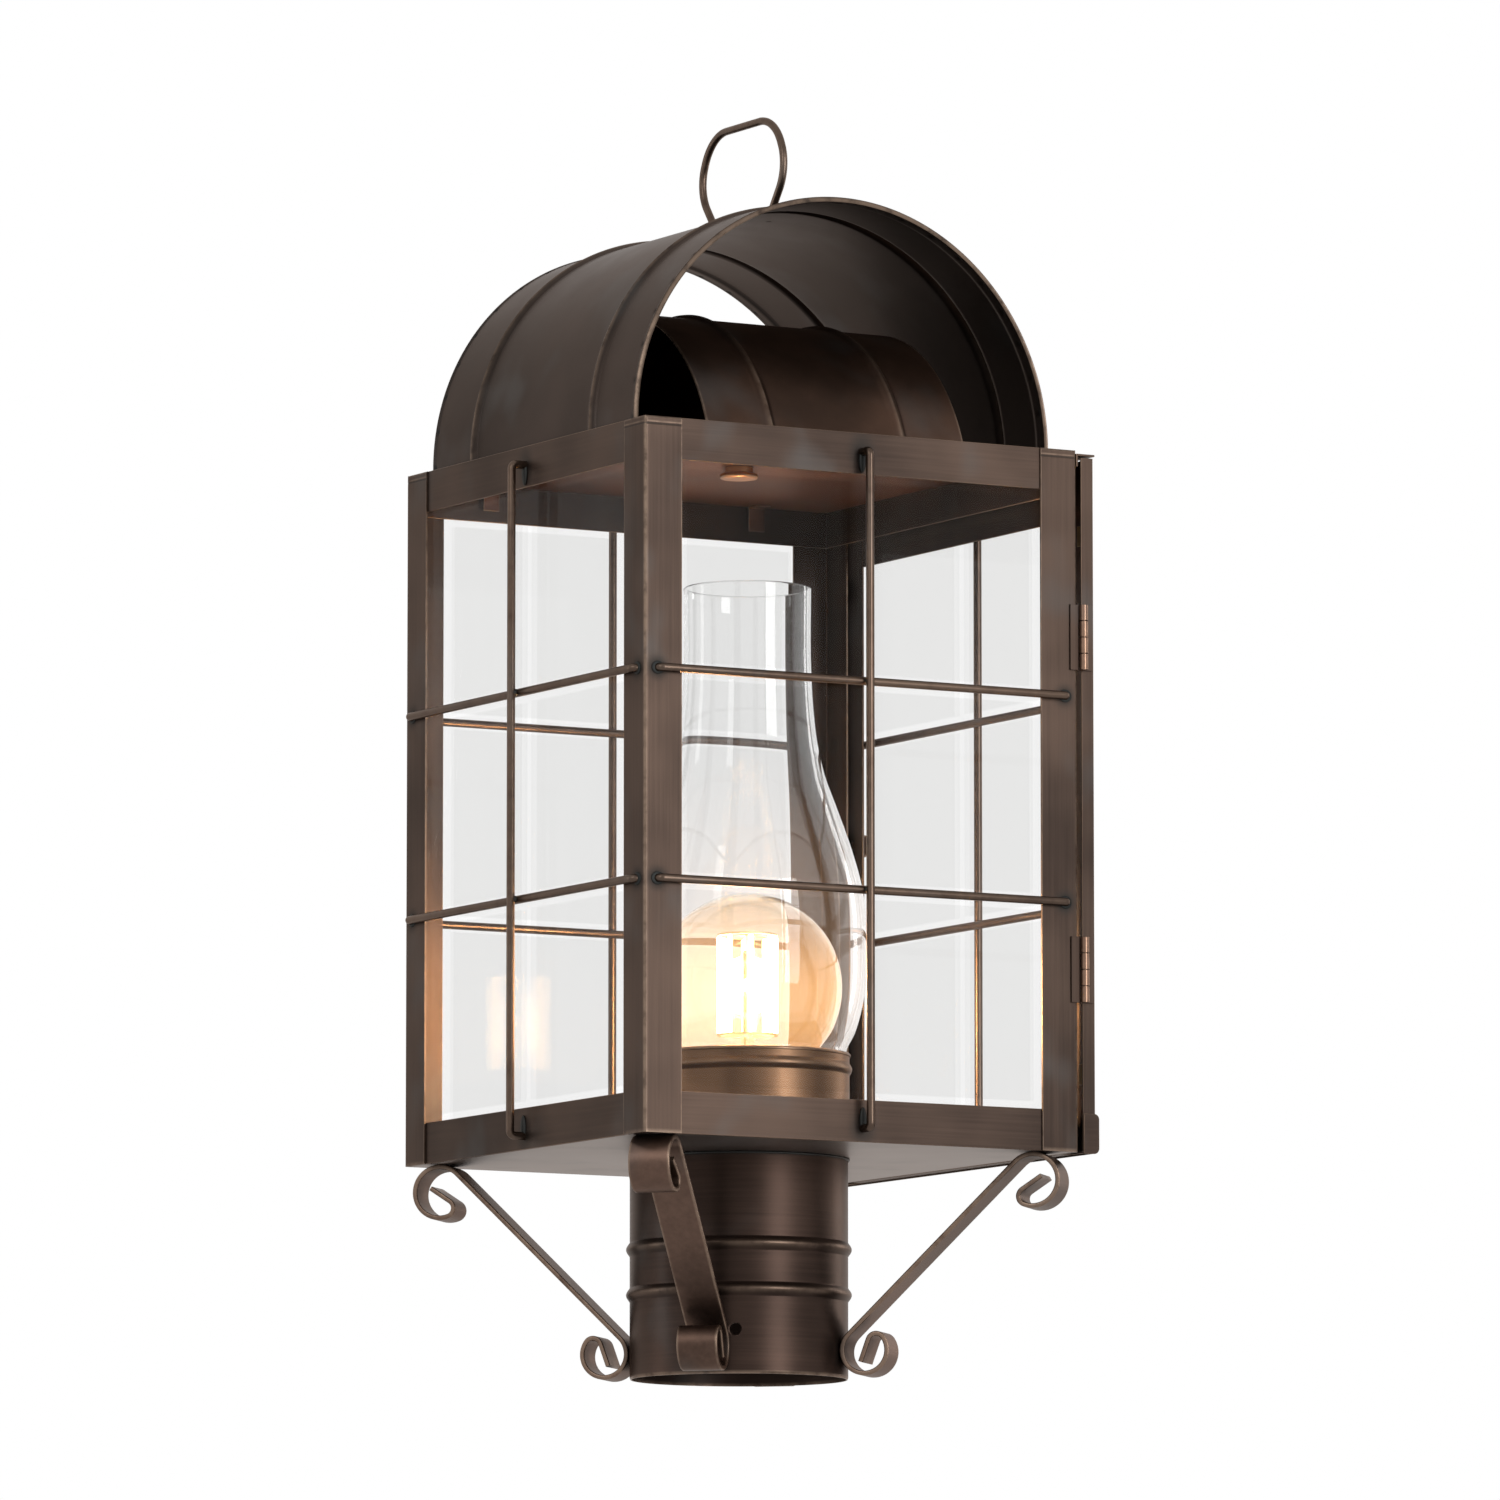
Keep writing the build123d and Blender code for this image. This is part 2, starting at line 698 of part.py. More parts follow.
with BuildPart() as bulb_cap:
    with BuildSketch(lamp_level(cap_z)):
        Circle(cap_radius)
    extrude(amount=cap_length)
    with BuildSketch(lamp_level(cap_z + cap_wall)):
        Circle(cap_radius - cap_wall)
    extrude(amount=cap_length, mode=Mode.SUBTRACT)
save(bulb_cap, "bulb_cap")


def globe_edge(radius, neck):
    """Height where a globe of this radius meets a neck of this radius."""
    return globe_z - sqrt(radius ** 2 - neck ** 2)


with BuildPart() as bulb_globe:
    with BuildSketch(lamp_plane):
        with BuildLine():
            inner_radius = bulb_radius - bulb_wall
            inner_neck = bulb_neck - bulb_wall
            outer_join = globe_edge(bulb_radius, bulb_neck)
            inner_join = globe_edge(inner_radius, inner_neck)
            Line((bulb_neck, neck_z), (bulb_neck, outer_join))
            ThreePointArc((bulb_neck, outer_join), (bulb_radius, globe_z), (0, globe_z + bulb_radius))
            Line((0, globe_z + bulb_radius), (0, globe_z + inner_radius))
            ThreePointArc((0, globe_z + inner_radius), (inner_radius, globe_z), (inner_neck, inner_join))
            Line((inner_neck, inner_join), (inner_neck, neck_z))
            Line((inner_neck, neck_z), (bulb_neck, neck_z))
        make_face()
    revolve(axis=Axis((lamp_x, 0, 0), (0, 0, 1)))
save(bulb_globe, "bulb_globe")

# a glass stem rises from a flare in the neck and carries two stars of wire for the filaments
flare_z = neck_z + stem_foot
stem_top = globe_z + stem_rise
with BuildPart() as bulb_stem:
    with BuildSketch(lamp_plane):
        with BuildLine():
            Line((0, flare_z), (stem_flare, flare_z))
            Line((stem_flare, flare_z), (stem_flare, flare_z + stem_foot))
            RadiusArc((stem_flare, flare_z + stem_foot), (stem_radius, flare_z + flare_height), -flare_round)
            Line((stem_radius, flare_z + flare_height), (stem_radius, stem_top))
            Line((stem_radius, stem_top), (0, stem_top))
            Line((0, stem_top), (0, flare_z))
        make_face()
    revolve(axis=Axis((lamp_x, 0, 0), (0, 0, 1)))
save(bulb_stem, "bulb_stem")

filament_z = globe_z + filament_rise - filament_length / 2
with BuildPart() as bulb_filaments:
    with BuildSketch(lamp_level(filament_z)):
        with PolarLocations(filament_circle, filament_count, start_angle=180 / filament_count):
            Circle(filament_radius)
    extrude(amount=filament_length)
save(bulb_filaments, "bulb_filaments")

with BuildPart() as filament_wires:
    ends = ((filament_z, -1), (filament_z + filament_length, 1))
    for end_z, direction in ends:
        with BuildSketch(lamp_level(end_z)):
            Circle(filament_circle + support_wire)
            Circle(filament_circle - support_wire, mode=Mode.SUBTRACT)
            with PolarLocations(0, filament_count, start_angle=180 / filament_count):
                Rectangle(filament_circle, support_wire, align=(Align.MIN, Align.CENTER))
            if direction < 0:
                Circle(stem_radius + seat_gap, mode=Mode.SUBTRACT)
        extrude(amount=direction * support_wire)
    # a short pin joins the upper star to the top of the stem
    with BuildSketch(lamp_level(stem_top)):
        Circle(support_wire)
    extrude(amount=filament_z + filament_length - stem_top)
save(filament_wires, "filament_wires")

# ---------------------------------------------------------------- door

stile_in = half - post_leg
knob_y = half - post_leg / 2
knob_z = (case_bottom + case_top) / 2
knob_plane = Plane(origin=(door_out, knob_y, knob_z), x_dir=(0, 1, 0), z_dir=(1, 0, 0))
door_floor = Plane.XY.offset(door_bottom)

for name, sy in (("front", -1), ("back", 1)):
    outer_end = Align.MAX if sy > 0 else Align.MIN
    with BuildPart() as stile:
        with BuildSketch(door_floor):
            with Locations((door_out, sy * half)):
                Rectangle(sheet, post_leg, align=(Align.MAX, outer_end))
                Rectangle(door_depth, sheet, align=(Align.MAX, outer_end))
        extrude(amount=door_height)
        if name == "back":
            with BuildSketch(knob_plane):
                Circle(knob_stem / 2 + seat_gap)
            extrude(amount=-door_depth, mode=Mode.SUBTRACT)
    save(stile, f"door_stile_{name}")

with BuildPart() as door_rails:
    for z, width, edge in ((door_bottom, rail_height, Align.MIN), (door_top, door_top_rail, Align.MAX)):
        with BuildSketch(Plane(origin=(door_out, stile_in, z), x_dir=(1, 0, 0), z_dir=(0, -1, 0))):
            Rectangle(sheet, width, align=(Align.MAX, edge))
            Rectangle(door_depth, sheet, align=(Align.MAX, edge))
        extrude(amount=2 * stile_in)
save(door_rails, "door_rails")

door_pane_half = half - sheet - running_gap
with BuildPart() as glass_door:
    with BuildSketch(face_plane("right", door_out - sheet - glass, door_bottom + sheet)):
        Rectangle(
            2 * door_pane_half,
            door_height - 2 * sheet - running_gap,
            align=(Align.CENTER, Align.MIN),
        )
    extrude(amount=glass)
save(glass_door, "glass_door")

# bent tabs on the door's side returns hold its pane
with BuildPart() as door_tabs:
    for sy in (-1, 1):
        outer_end = Align.MAX if sy > 0 else Align.MIN
        for z in (door_bottom + tab_inset, door_top - tab_inset):
            with BuildSketch(Plane.XY.offset(z - tab_height / 2)):
                with Locations((door_out - sheet - glass, sy * (half - sheet))):
                    Rectangle(clip_sheet, tab_reach, align=(Align.MAX, outer_end))
            extrude(amount=tab_height)
save(door_tabs, "door_tabs")

# the kick strip covers the door's lower edge and wraps round both of its ends
with BuildPart() as kick_strip:
    with BuildSketch(Plane.XY.offset(case_bottom - kick_drop)):
        with Locations((door_in, 0)):
            Rectangle(
                door_depth + kick_depth,
                case_width + 2 * kick_wrap,
                align=(Align.MIN, Align.CENTER),
            )
    extrude(amount=kick_height)
    outer_corners = kick_strip.edges().filter_by(Axis.Y).group_by(Axis.X)[-1]
    fillet(outer_corners, kick_round)
    with BuildSketch(Plane.XY.offset(case_bottom - kick_drop)):
        with Locations((door_in, 0)):
            Rectangle(door_depth, case_width, align=(Align.MIN, Align.CENTER))
    extrude(amount=kick_height, mode=Mode.SUBTRACT)
save(kick_strip, "kick_strip")

# ---------------------------------------------------------------- hinges

knuckle_length = hinge_length / hinge_knuckles
knuckle_gap = running_gap / 2


def hinge_leaf(middle_height, first, leaf_start, leaf_length):
    """A flat leaf on the front edge, with every second knuckle of the hinge."""
    foot = middle_height - hinge_length / 2
    with BuildPart() as leaf:
        with BuildSketch(Plane.XY.offset(foot)):
            with Locations((leaf_start, -half)):
                Rectangle(leaf_length, leaf_sheet, align=(Align.MIN, Align.MAX))
        extrude(amount=hinge_length)
        for number in range(hinge_knuckles):
            z = foot + number * knuckle_length
            if number % 2 == first:
                with BuildSketch(Plane.XY.offset(z + knuckle_gap)):
                    with Locations((hinge_x, hinge_y)):
                        Circle(knuckle / 2)
                extrude(amount=knuckle_length - 2 * knuckle_gap)
            else:
                with BuildSketch(Plane.XY.offset(z - knuckle_gap)):
                    with Locations((hinge_x, hinge_y)):
                        Circle(knuckle / 2 + running_gap)
                extrude(amount=knuckle_length + 2 * knuckle_gap, mode=Mode.SUBTRACT)
        with BuildSketch(Plane.XY.offset(foot)):
            with Locations((hinge_x, hinge_y)):
                Circle(hinge_pin / 2 + pin_clearance)
        extrude(amount=hinge_length, mode=Mode.SUBTRACT)
    return leaf.part


hinge_heights = (case_top - hinge_top_inset, case_bottom + hinge_bottom_inset)
leaves = {
    "hinge_case_leaves": (1, hinge_x - case_leaf_width, case_leaf_width),
    "hinge_door_leaves": (0, hinge_x, door_leaf_width),
}
for name, (first, leaf_start, leaf_length) in leaves.items():
    with BuildPart() as pair:
        for height in hinge_heights:
            add(hinge_leaf(height, first, leaf_start, leaf_length))
    save(pair, name)

with BuildPart() as hinge_pins:
    for height in hinge_heights:
        with BuildSketch(Plane.XY.offset(height - hinge_length / 2)):
            with Locations((hinge_x, hinge_y)):
                Circle(hinge_pin / 2)
        extrude(amount=hinge_length)
save(hinge_pins, "hinge_pins")

# ---------------------------------------------------------------- knob and catch

with BuildPart() as door_knob:
    with BuildSketch(Plane(origin=(door_out, knob_y, knob_z), x_dir=(1, 0, 0), z_dir=(0, -1, 0))):
        with BuildLine():
            Polyline(
                (-sheet, 0),
                (-sheet, knob_stem / 2),
                (0, knob_stem / 2),
                *knob_outline,
                (knob_outline[-1][0], 0),
                close=True,
            )
        make_face()
    revolve(axis=Axis((door_out, knob_y, knob_z), (1, 0, 0)))
save(door_knob, "door_knob")

# a bowed spring strip on the back corner post presses on the door's edge from inside
catch_bow = door_gap - running_gap
catch_foot = catch_length / 2 - catch_end
with BuildPart() as door_catch:
    with BuildSketch(Plane(origin=(half, half, knob_z), x_dir=(1, 0, 0), z_dir=(0, -1, 0))):
        with BuildLine():
            ThreePointArc((0, -catch_length / 2), (catch_bow, 0), (0, catch_length / 2))
            Line((0, catch_length / 2), (0, catch_foot))
            ThreePointArc((0, catch_foot), (catch_bow - catch_sheet, 0), (0, -catch_foot))
            Line((0, -catch_foot), (0, -catch_length / 2))
        make_face()
    extrude(amount=catch_width)
save(door_catch, "door_catch")
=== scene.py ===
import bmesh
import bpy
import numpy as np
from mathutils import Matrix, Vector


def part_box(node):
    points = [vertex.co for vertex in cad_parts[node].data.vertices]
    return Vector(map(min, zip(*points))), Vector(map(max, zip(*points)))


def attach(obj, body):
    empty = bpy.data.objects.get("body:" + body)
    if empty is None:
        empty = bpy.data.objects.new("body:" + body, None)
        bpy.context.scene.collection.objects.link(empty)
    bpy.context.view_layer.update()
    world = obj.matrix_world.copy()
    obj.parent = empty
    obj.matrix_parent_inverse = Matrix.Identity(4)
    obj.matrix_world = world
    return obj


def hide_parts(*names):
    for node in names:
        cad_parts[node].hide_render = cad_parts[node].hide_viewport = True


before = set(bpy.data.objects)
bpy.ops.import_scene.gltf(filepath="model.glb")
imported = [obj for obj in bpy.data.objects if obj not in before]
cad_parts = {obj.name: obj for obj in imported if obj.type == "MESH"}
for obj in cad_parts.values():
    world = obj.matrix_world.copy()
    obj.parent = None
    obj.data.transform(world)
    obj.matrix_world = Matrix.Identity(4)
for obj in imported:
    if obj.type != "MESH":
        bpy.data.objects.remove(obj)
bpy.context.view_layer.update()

# %% [markdown]
# A post lantern of thin brass sheet, darkened to an antique bronze, with a glass chimney lamp inside.
# The imported model gives every place and size. This file gives each part its real surface: folded and
# worn edges whose lighter brown is also a painted highlight, pressed beads, solder, brushed metal and
# clear glass. Sizes are in millimetres here, and turn into metres when a mesh is made.

MM = 0.001
scene = bpy.context.scene
scene.view_settings.view_transform = "Standard"
scene.cycles.max_bounces = 24
scene.cycles.transmission_bounces = 24
scene.cycles.transparent_max_bounces = 32
scene.cycles.glossy_bounces = 6


def span(node):
    """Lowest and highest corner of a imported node, in millimetres."""
    low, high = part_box(node)
    return np.array(low) / MM, np.array(high) / MM


def standing(across, upward, behind, place):
    """The pose of a camera or a lamp, from its three axes and its place in metres."""
    pose = np.eye(4)
    pose[:3] = np.stack([across, upward, behind, place], -1)
    return Matrix(pose.tolist())


# %% [markdown]
# The photograph was taken from the left of the front, a little below the lantern, with a long lens.
# The camera stands where the lantern's own straight edges say it stood. A small sideways shift stands
# for the crop of the picture.

# %% Camera
turn, tilt = np.radians(-29.759), np.radians(6.716)
forward = np.array([-np.sin(turn) * np.cos(tilt), np.cos(turn) * np.cos(tilt), np.sin(tilt)])
right = np.array([np.cos(turn), np.sin(turn), 0])
above = np.cross(right, forward)
lens = bpy.data.cameras.new("camera")
lens.sensor_width = 36
lens.lens = 269.21
lens.shift_x = 0.00737
lens.clip_end = 100
camera = bpy.data.objects.new("camera", lens)
scene.collection.objects.link(camera)
scene.camera = camera
camera.rotation_mode = "QUATERNION"
viewpoint = np.array([-2140.7, -3744.1, -263.9]) * MM
camera.matrix_world = standing(right, above, -forward, viewpoint)
print("camera stands", round(float(np.linalg.norm(viewpoint[:2])), 2), "m from the lantern's axis")

# %% [markdown]
# Shader maths reads best as ordinary sums. A small class holds one node socket and turns +, -, * and /
# into Math nodes, so a mask can be written as `1 - worn * 0.5`. Every other node comes from `add`,
# which takes the node's type, its settings, and what goes into its sockets.

# %% Finish: a material written as sums


class Value:
    """One socket of a material that can stand in a sum."""

    def __init__(self, finish, socket):
        self.finish, self.socket = finish, socket

    def sum(self, operation, first, second=0.0):
        return self.finish.add("ShaderNodeMath", {"operation": operation}, {0: first, 1: second})

    def __add__(self, other):
        return self.sum("ADD", self, other)

    def __radd__(self, other):
        return self.sum("ADD", other, self)

    def __sub__(self, other):
        return self.sum("SUBTRACT", self, other)

    def __rsub__(self, other):
        return self.sum("SUBTRACT", other, self)

    def __mul__(self, other):
        return self.sum("MULTIPLY", self, other)

    def __rmul__(self, other):
        return self.sum("MULTIPLY", other, self)

    def __truediv__(self, other):
        return self.sum("DIVIDE", self, other)

    def __rtruediv__(self, other):
        return self.sum("DIVIDE", other, self)

    def __pow__(self, other):
        return self.sum("POWER", self, other)

    def __abs__(self):
        return self.sum("ABSOLUTE", self)


class Finish:
    """A material, or a world, whose nodes are made one call at a time."""

    def __init__(self, name, shelf=bpy.data.materials):
        self.owner = shelf.new(name)
        self.owner.use_nodes = True
        self.tree = self.owner.node_tree
        self.tree.nodes.clear()
        self.place = self.add("ShaderNodeTexCoord", out="Object")

    def add(self, kind, settings=None, inputs=None, out=0):
        """Makes a node, sets it up, fills its sockets with numbers or links, and gives one output."""
        node = self.tree.nodes.new(kind)
        for key, value in (settings or {}).items():
            setattr(node, key, value)
        for key, value in (inputs or {}).items():
            socket = node.inputs[key]
            if isinstance(value, Value):
                self.tree.links.new(value.socket, socket)
            else:
                socket.default_value = value
        return Value(self, node.outputs[out])

    def noise(self, stretch, detail=3.0, rough=0.5, seed=0.0):
        """Noise from 0 to 1, stretched: stretch is waves per metre along X, Y and Z."""
        spread = self.add("ShaderNodeMapping", {}, {"Vector": self.place, "Scale": stretch,
                                                    "Location": (seed, seed * 1.7, seed * 2.3)})
        return self.add("ShaderNodeTexNoise", {}, {"Vector": spread, "Scale": 1.0,
                                                   "Detail": detail, "Roughness": rough})

    def ramp(self, value, low, high):
        """0 below low, 1 above high, with a soft slope between."""
        return self.add("ShaderNodeMapRange", {"interpolation_type": "SMOOTHSTEP"},
                        {"Value": value, "From Min": low, "From Max": high})

    def mix(self, share, first, second):
        """One colour into another by a share from 0 to 1."""
        return self.add("ShaderNodeMix", {"data_type": "RGBA"}, {0: share, 6: first, 7: second}, out=2)

    def attribute(self, name):
        """A number kept on the mesh's points."""
        return self.add("ShaderNodeAttribute", {"attribute_name": name}, out="Fac")

    def show(self, shader, kind="ShaderNodeOutputMaterial"):
        """Sends a shader to the output, and gives the finished material or world."""
        output = self.tree.nodes.new(kind)
        self.tree.links.new(shader.socket, output.inputs["Surface"])
        return self.owner


def paint(red, green, blue):
    """A screen colour from 0 to 255 as the linear colour that a shader wants."""
    screen = np.array([red, green, blue]) / 255
    linear = np.where(screen <= 0.04045, screen / 12.92, ((screen + 0.055) / 1.055) ** 2.4)
    return (*linear.tolist(), 1.0)


# %% [markdown]
# The whole lantern wears one finish: brass darkened to a brown bronze, rubbed with fine abrasive so
# that hair lines run along each part, and relieved to a lighter brown on its edges, folds and beads,
# where that lighter brown is also a painted highlight. Heat from the soldering iron leaves blue-grey
# patches. One function makes the finish, and only the direction of the rubbing and the shades change
# from part to part; the base plate's light grey is a painted reflection of the floor, and the ceiling
# button's warm light brown is painted lamp light. The points carry two numbers: one is 1 on a rubbed
# edge and on a painted highlight, and the other is 1 where solder or flux has darkened the metal and
# where a nick in the roof carries its painted shadow.

# %% Antique bronze


# The rubbed colour is the lighter brown of worn edges and also a painted highlight on folds, edges and
# beads; the sooted colour is solder and flux, and painted shadow in the roof's nicks.
RUBBED_AND_HIGHLIT, BLUED, SOOTED_AND_SHADED = paint(130, 111, 96), paint(72, 74, 74), paint(37, 40, 40)
GLOSS_TINT = paint(228, 218, 212)
FOOT_SHADE = 8.0


def bronze(name, rub, dark=(43, 35, 31), mid=(77, 63, 55), rough=0.36, feet=()):
    """Patinated brass. rub is how many hair lines per metre lie along X, Y and Z. feet are the heights at
    which a guard wire is soldered to the middle of each face, where the metal is dark. The distance,
    squared, is the smaller of x and y, squared, plus 0.7 of the height above the foot, squared."""
    finish = Finish(name)
    hair = finish.noise(rub, 4.0, 0.65)
    cloud = finish.noise((11, 11, 11), 3.0, 0.55, seed=3.1)
    bloom = finish.noise((34, 34, 26), 2.0, 0.5, seed=7.7)
    wear_and_highlight = finish.attribute("wear_and_highlight")
    soot_and_shade = finish.attribute("soot_and_shade")
    for height in feet:
        across = finish.add("ShaderNodeSeparateXYZ", {}, {0: finish.place})
        other, up = (Value(finish, across.socket.node.outputs[n]) for n in (1, 2))
        near = across.sum("MINIMUM", abs(across), abs(other)) / MM
        gap = (near ** 2 + ((up / MM - height) * 0.7) ** 2) ** 0.5
        soot_and_shade = soot_and_shade + 0.6 * finish.ramp(FOOT_SHADE - gap, 0.0, 7.0)
    tone = finish.ramp(cloud * 0.95 + hair * 0.25, 0.36, 0.86)
    colour = finish.mix(tone, paint(*dark), paint(*mid))
    colour = finish.mix(finish.ramp(bloom, 0.52, 0.78) * 0.35, colour, BLUED)
    # Lighter on rubbed edges, folds and beads: partly wear, partly a painted highlight.
    rubbed_and_highlit = wear_and_highlight * finish.ramp(finish.noise((160, 160, 160), 3.0, 0.6, seed=1.3), 0.18, 0.62)
    colour = finish.mix(rubbed_and_highlit * 0.85, colour, RUBBED_AND_HIGHLIT)
    # Dark where solder and flux have stained the metal, and painted shadow where the roof is nicked.
    colour = finish.mix(soot_and_shade * 0.8, colour, SOOTED_AND_SHADED)
    shine = rough + 0.12 * cloud + 0.10 * (hair - 0.5) + 0.25 * soot_and_shade - 0.08 * rubbed_and_highlit
    relief = finish.add("ShaderNodeBump", {}, {"Strength": 0.05, "Distance": 0.0004,
                                               "Height": hair + 0.4 * cloud})
    return finish.show(finish.add("ShaderNodeBsdfPrincipled", {}, {
        "Base Color": colour, "Metallic": 0.92, "Roughness": shine, "Normal": relief,
        "Specular Tint": GLOSS_TINT}))


ALONG_Z = (900, 900, 14)
LEVEL = (16, 16, 900)
FINE = (420, 420, 420)
BROAD = (60, 60, 60)
upright_bronze = bronze("bronze_rubbed_upright", ALONG_Z)
level_bronze = bronze("bronze_rubbed_level", LEVEL)
roof_bronze = bronze("bronze_roof", BROAD, dark=(36, 30, 27), mid=(62, 52, 47), rough=0.33)
hood_bronze = bronze("bronze_hood", BROAD, dark=(50, 37, 30), mid=(86, 64, 52), rough=0.38)
fitter_bronze = bronze("bronze_fitter", LEVEL, dark=(38, 29, 25), mid=(70, 55, 48), rough=0.33)
ceiling_bronze = bronze("bronze_ceiling", BROAD, dark=(52, 34, 26), mid=(92, 64, 52), rough=0.42)
# The base plate's light grey stands for the white floor it reflects: a painted reflection over the bronze.
base_painted_reflection_bronze = bronze("bronze_base_plate_painted_floor_reflection", (30, 30, 30), (118, 109, 103), (146, 138, 133), rough=0.3)
gallery_bronze = bronze("bronze_gallery", LEVEL, dark=(84, 62, 46), mid=(128, 98, 74), rough=0.32)
rail_bronze = bronze("bronze_rails", LEVEL, feet=(90.2, 348.6))
bracket_bronze = bronze("bronze_bracket", (300, 300, 300), dark=(62, 48, 41), mid=(104, 82, 71), rough=0.33)
# The button's warm light brown is painted lamp light: the bulb's glow on its face.
button_painted_lamp_light_bronze = bronze("bronze_button_painted_lamp_light", FINE, dark=(150, 104, 72), mid=(188, 138, 98), rough=0.34)
wire_bronze = bronze("bronze_wire", FINE, dark=(54, 43, 38), mid=(86, 71, 61), rough=0.27)
edge_wear_and_highlight_bronze = bronze("bronze_edge_wear_and_highlight", FINE, dark=(84, 69, 59), mid=(120, 100, 85), rough=0.34)
hinge_bronze = bronze("bronze_hinge", FINE, dark=(92, 72, 60), mid=(140, 112, 94), rough=0.24)
solder_metal = bronze("bronze_solder", FINE, dark=(40, 40, 40), mid=(74, 73, 70), rough=0.3)

# %% [markdown]
# Hardware that nobody rubbed down is plain dulled brass, and the lamp's own parts are plated brass,
# glazed porcelain and black glass.

# %% Lamp hardware finishes


def plain(name, first, second, metallic, rough, scale=120, coat=0.0, rings=0.0):
    """A finish that drifts between two close colours. rings is how closely rolled rings follow."""
    finish = Finish(name)
    drift = finish.noise((scale, scale, scale), 3.0, 0.6)
    height, strength, depth = drift, 0.08, 0.0003
    if rings:
        strength, depth = 0.6, 0.0012
        spread = finish.add("ShaderNodeMapping", {}, {"Vector": finish.place, "Scale": (0, 0, rings)})
        height = finish.add("ShaderNodeTexWave", {"bands_direction": "Z"},
                            {"Vector": spread, "Scale": 1.0}, out="Fac")
    relief = finish.add("ShaderNodeBump", {}, {"Strength": strength, "Distance": depth, "Height": height})
    return finish.show(finish.add("ShaderNodeBsdfPrincipled", {}, {
        "Base Color": finish.mix(drift, paint(*first), paint(*second)), "Metallic": metallic,
        "Roughness": rough + 0.15 * drift, "Coat Weight": coat, "Normal": relief}))


raw_brass = plain("brass_plain", (112, 90, 56), (150, 124, 80), 1.0, 0.32)
cap_brass = plain("brass_cap", (176, 158, 118), (206, 188, 146), 1.0, 0.2, rings=90)
tin = plain("tinned_contact", (150, 150, 148), (190, 188, 184), 0.9, 0.35)
porcelain = plain("porcelain", (226, 222, 212), (238, 235, 228), 0.0, 0.22, scale=40, coat=0.5)
insulator = plain("insulator", (28, 26, 24), (44, 41, 38), 0.0, 0.5)
black_glass = plain("black_glass", (10, 10, 11), (18, 18, 20), 0.0, 0.08, coat=0.6)
support_metal = plain("filament_support", (150, 140, 126), (190, 178, 160), 1.0, 0.3)
print("finishes so far:", len(bpy.data.materials))

# %% [markdown]
# Every new part here is one of two shapes. A flat outline carried along a bent path makes tubes,
# strips, folded sheet and the barrel roofs. A profile turned round an axis makes the fitter, the
# gallery, the chimney and the bulb. Both are grids of points worked out as whole arrays, and one
# function turns grids into a closed mesh.

# %% Grids into meshes


def cells(rows, cols, ring):
    """Corners of every cell of a grid of points; with ring, the last column joins the first."""
    row = np.arange(rows - 1)[:, None]
    col = np.arange(cols if ring else cols - 1)[None, :]
    after = (col + 1) % cols
    corners = [row * cols + col, row * cols + after, (row + 1) * cols + after, (row + 1) * cols + col]
    return np.stack(np.broadcast_arrays(*corners), -1).reshape(-1, 4)


def lids(rows, cols):
    """Closes both ends of a tube: each point is joined to the one across the outline's fold."""
    j = np.arange(cols // 2 - 1)
    lid = np.stack([j, j + 1, cols - 2 - j, cols - 1 - j], -1)
    return np.vstack([lid, lid + (rows - 1) * cols])


def piece(name, shells, finish, body, stands_for=(), sharp=38):
    """Joins shells (grid, ring, lidded, wear and painted highlight, soot and painted shadow) into one
    mesh. Doubles merge and faces turn outwards. sharp is the angle past which an edge is kept crisp."""
    points, faces, wear_and_highlight, soot_and_shade = [], [], [], []
    for grid, ring, lidded, rubbed_and_highlit, dark in shells:
        rows, cols = grid.shape[:2]
        start = sum(len(p) for p in points)
        found = [cells(rows, cols, ring)] + ([lids(rows, cols)] if lidded else [])
        faces.append(np.vstack(found) + start)
        points.append(grid.reshape(-1, 3) * MM)
        wear_and_highlight.append(np.broadcast_to(rubbed_and_highlit, (rows, cols)).reshape(-1))
        soot_and_shade.append(np.broadcast_to(dark, (rows, cols)).reshape(-1))
    mesh = bpy.data.meshes.new(name)
    mesh.from_pydata(np.vstack(points).tolist(), [], np.vstack(faces).tolist())
    for label, numbers in (("wear_and_highlight", wear_and_highlight), ("soot_and_shade", soot_and_shade)):
        layer = mesh.attributes.new(label, "FLOAT", "POINT")
        layer.data.foreach_set("value", np.concatenate(numbers).astype(np.float32))
    work = bmesh.new()
    work.from_mesh(mesh)
    bmesh.ops.remove_doubles(work, verts=work.verts, dist=1e-6)
    bmesh.ops.recalc_face_normals(work, faces=work.faces)
    work.to_mesh(mesh)
    work.free()
    mesh.shade_smooth()
    mesh.set_sharp_from_angle(angle=np.radians(sharp))
    made = bpy.data.objects.new(name, mesh)
    scene.collection.objects.link(made)
    mesh.materials.append(finish)
    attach(made, body)
    if stands_for:
        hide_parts(*stands_for)
    return made


def stroke(start, heading, moves, step=0.5):
    """A flat path drawn by a pen. Each move is (length, turn in degrees), with the turn spread evenly:
    a step of length d that turns by t ends d * sin(t/2)/(t/2) away, along the heading plus t/2."""
    counts = np.array([max(2, int(np.ceil(length / step))) if turned else 4 for length, turned in moves])
    lengths = np.repeat([length / n for (length, _), n in zip(moves, counts)], counts)
    turns = np.repeat([np.radians(turned) / n for (_, turned), n in zip(moves, counts)], counts)
    ahead = heading + np.concatenate([[0], np.cumsum(turns)[:-1]]) + turns / 2
    chord = lengths * np.sinc(turns / 2 / np.pi)
    steps = np.stack([chord * np.cos(ahead), chord * np.sin(ahead)], -1)
    return np.array(start, float) + np.vstack([[0, 0], np.cumsum(steps, 0)])


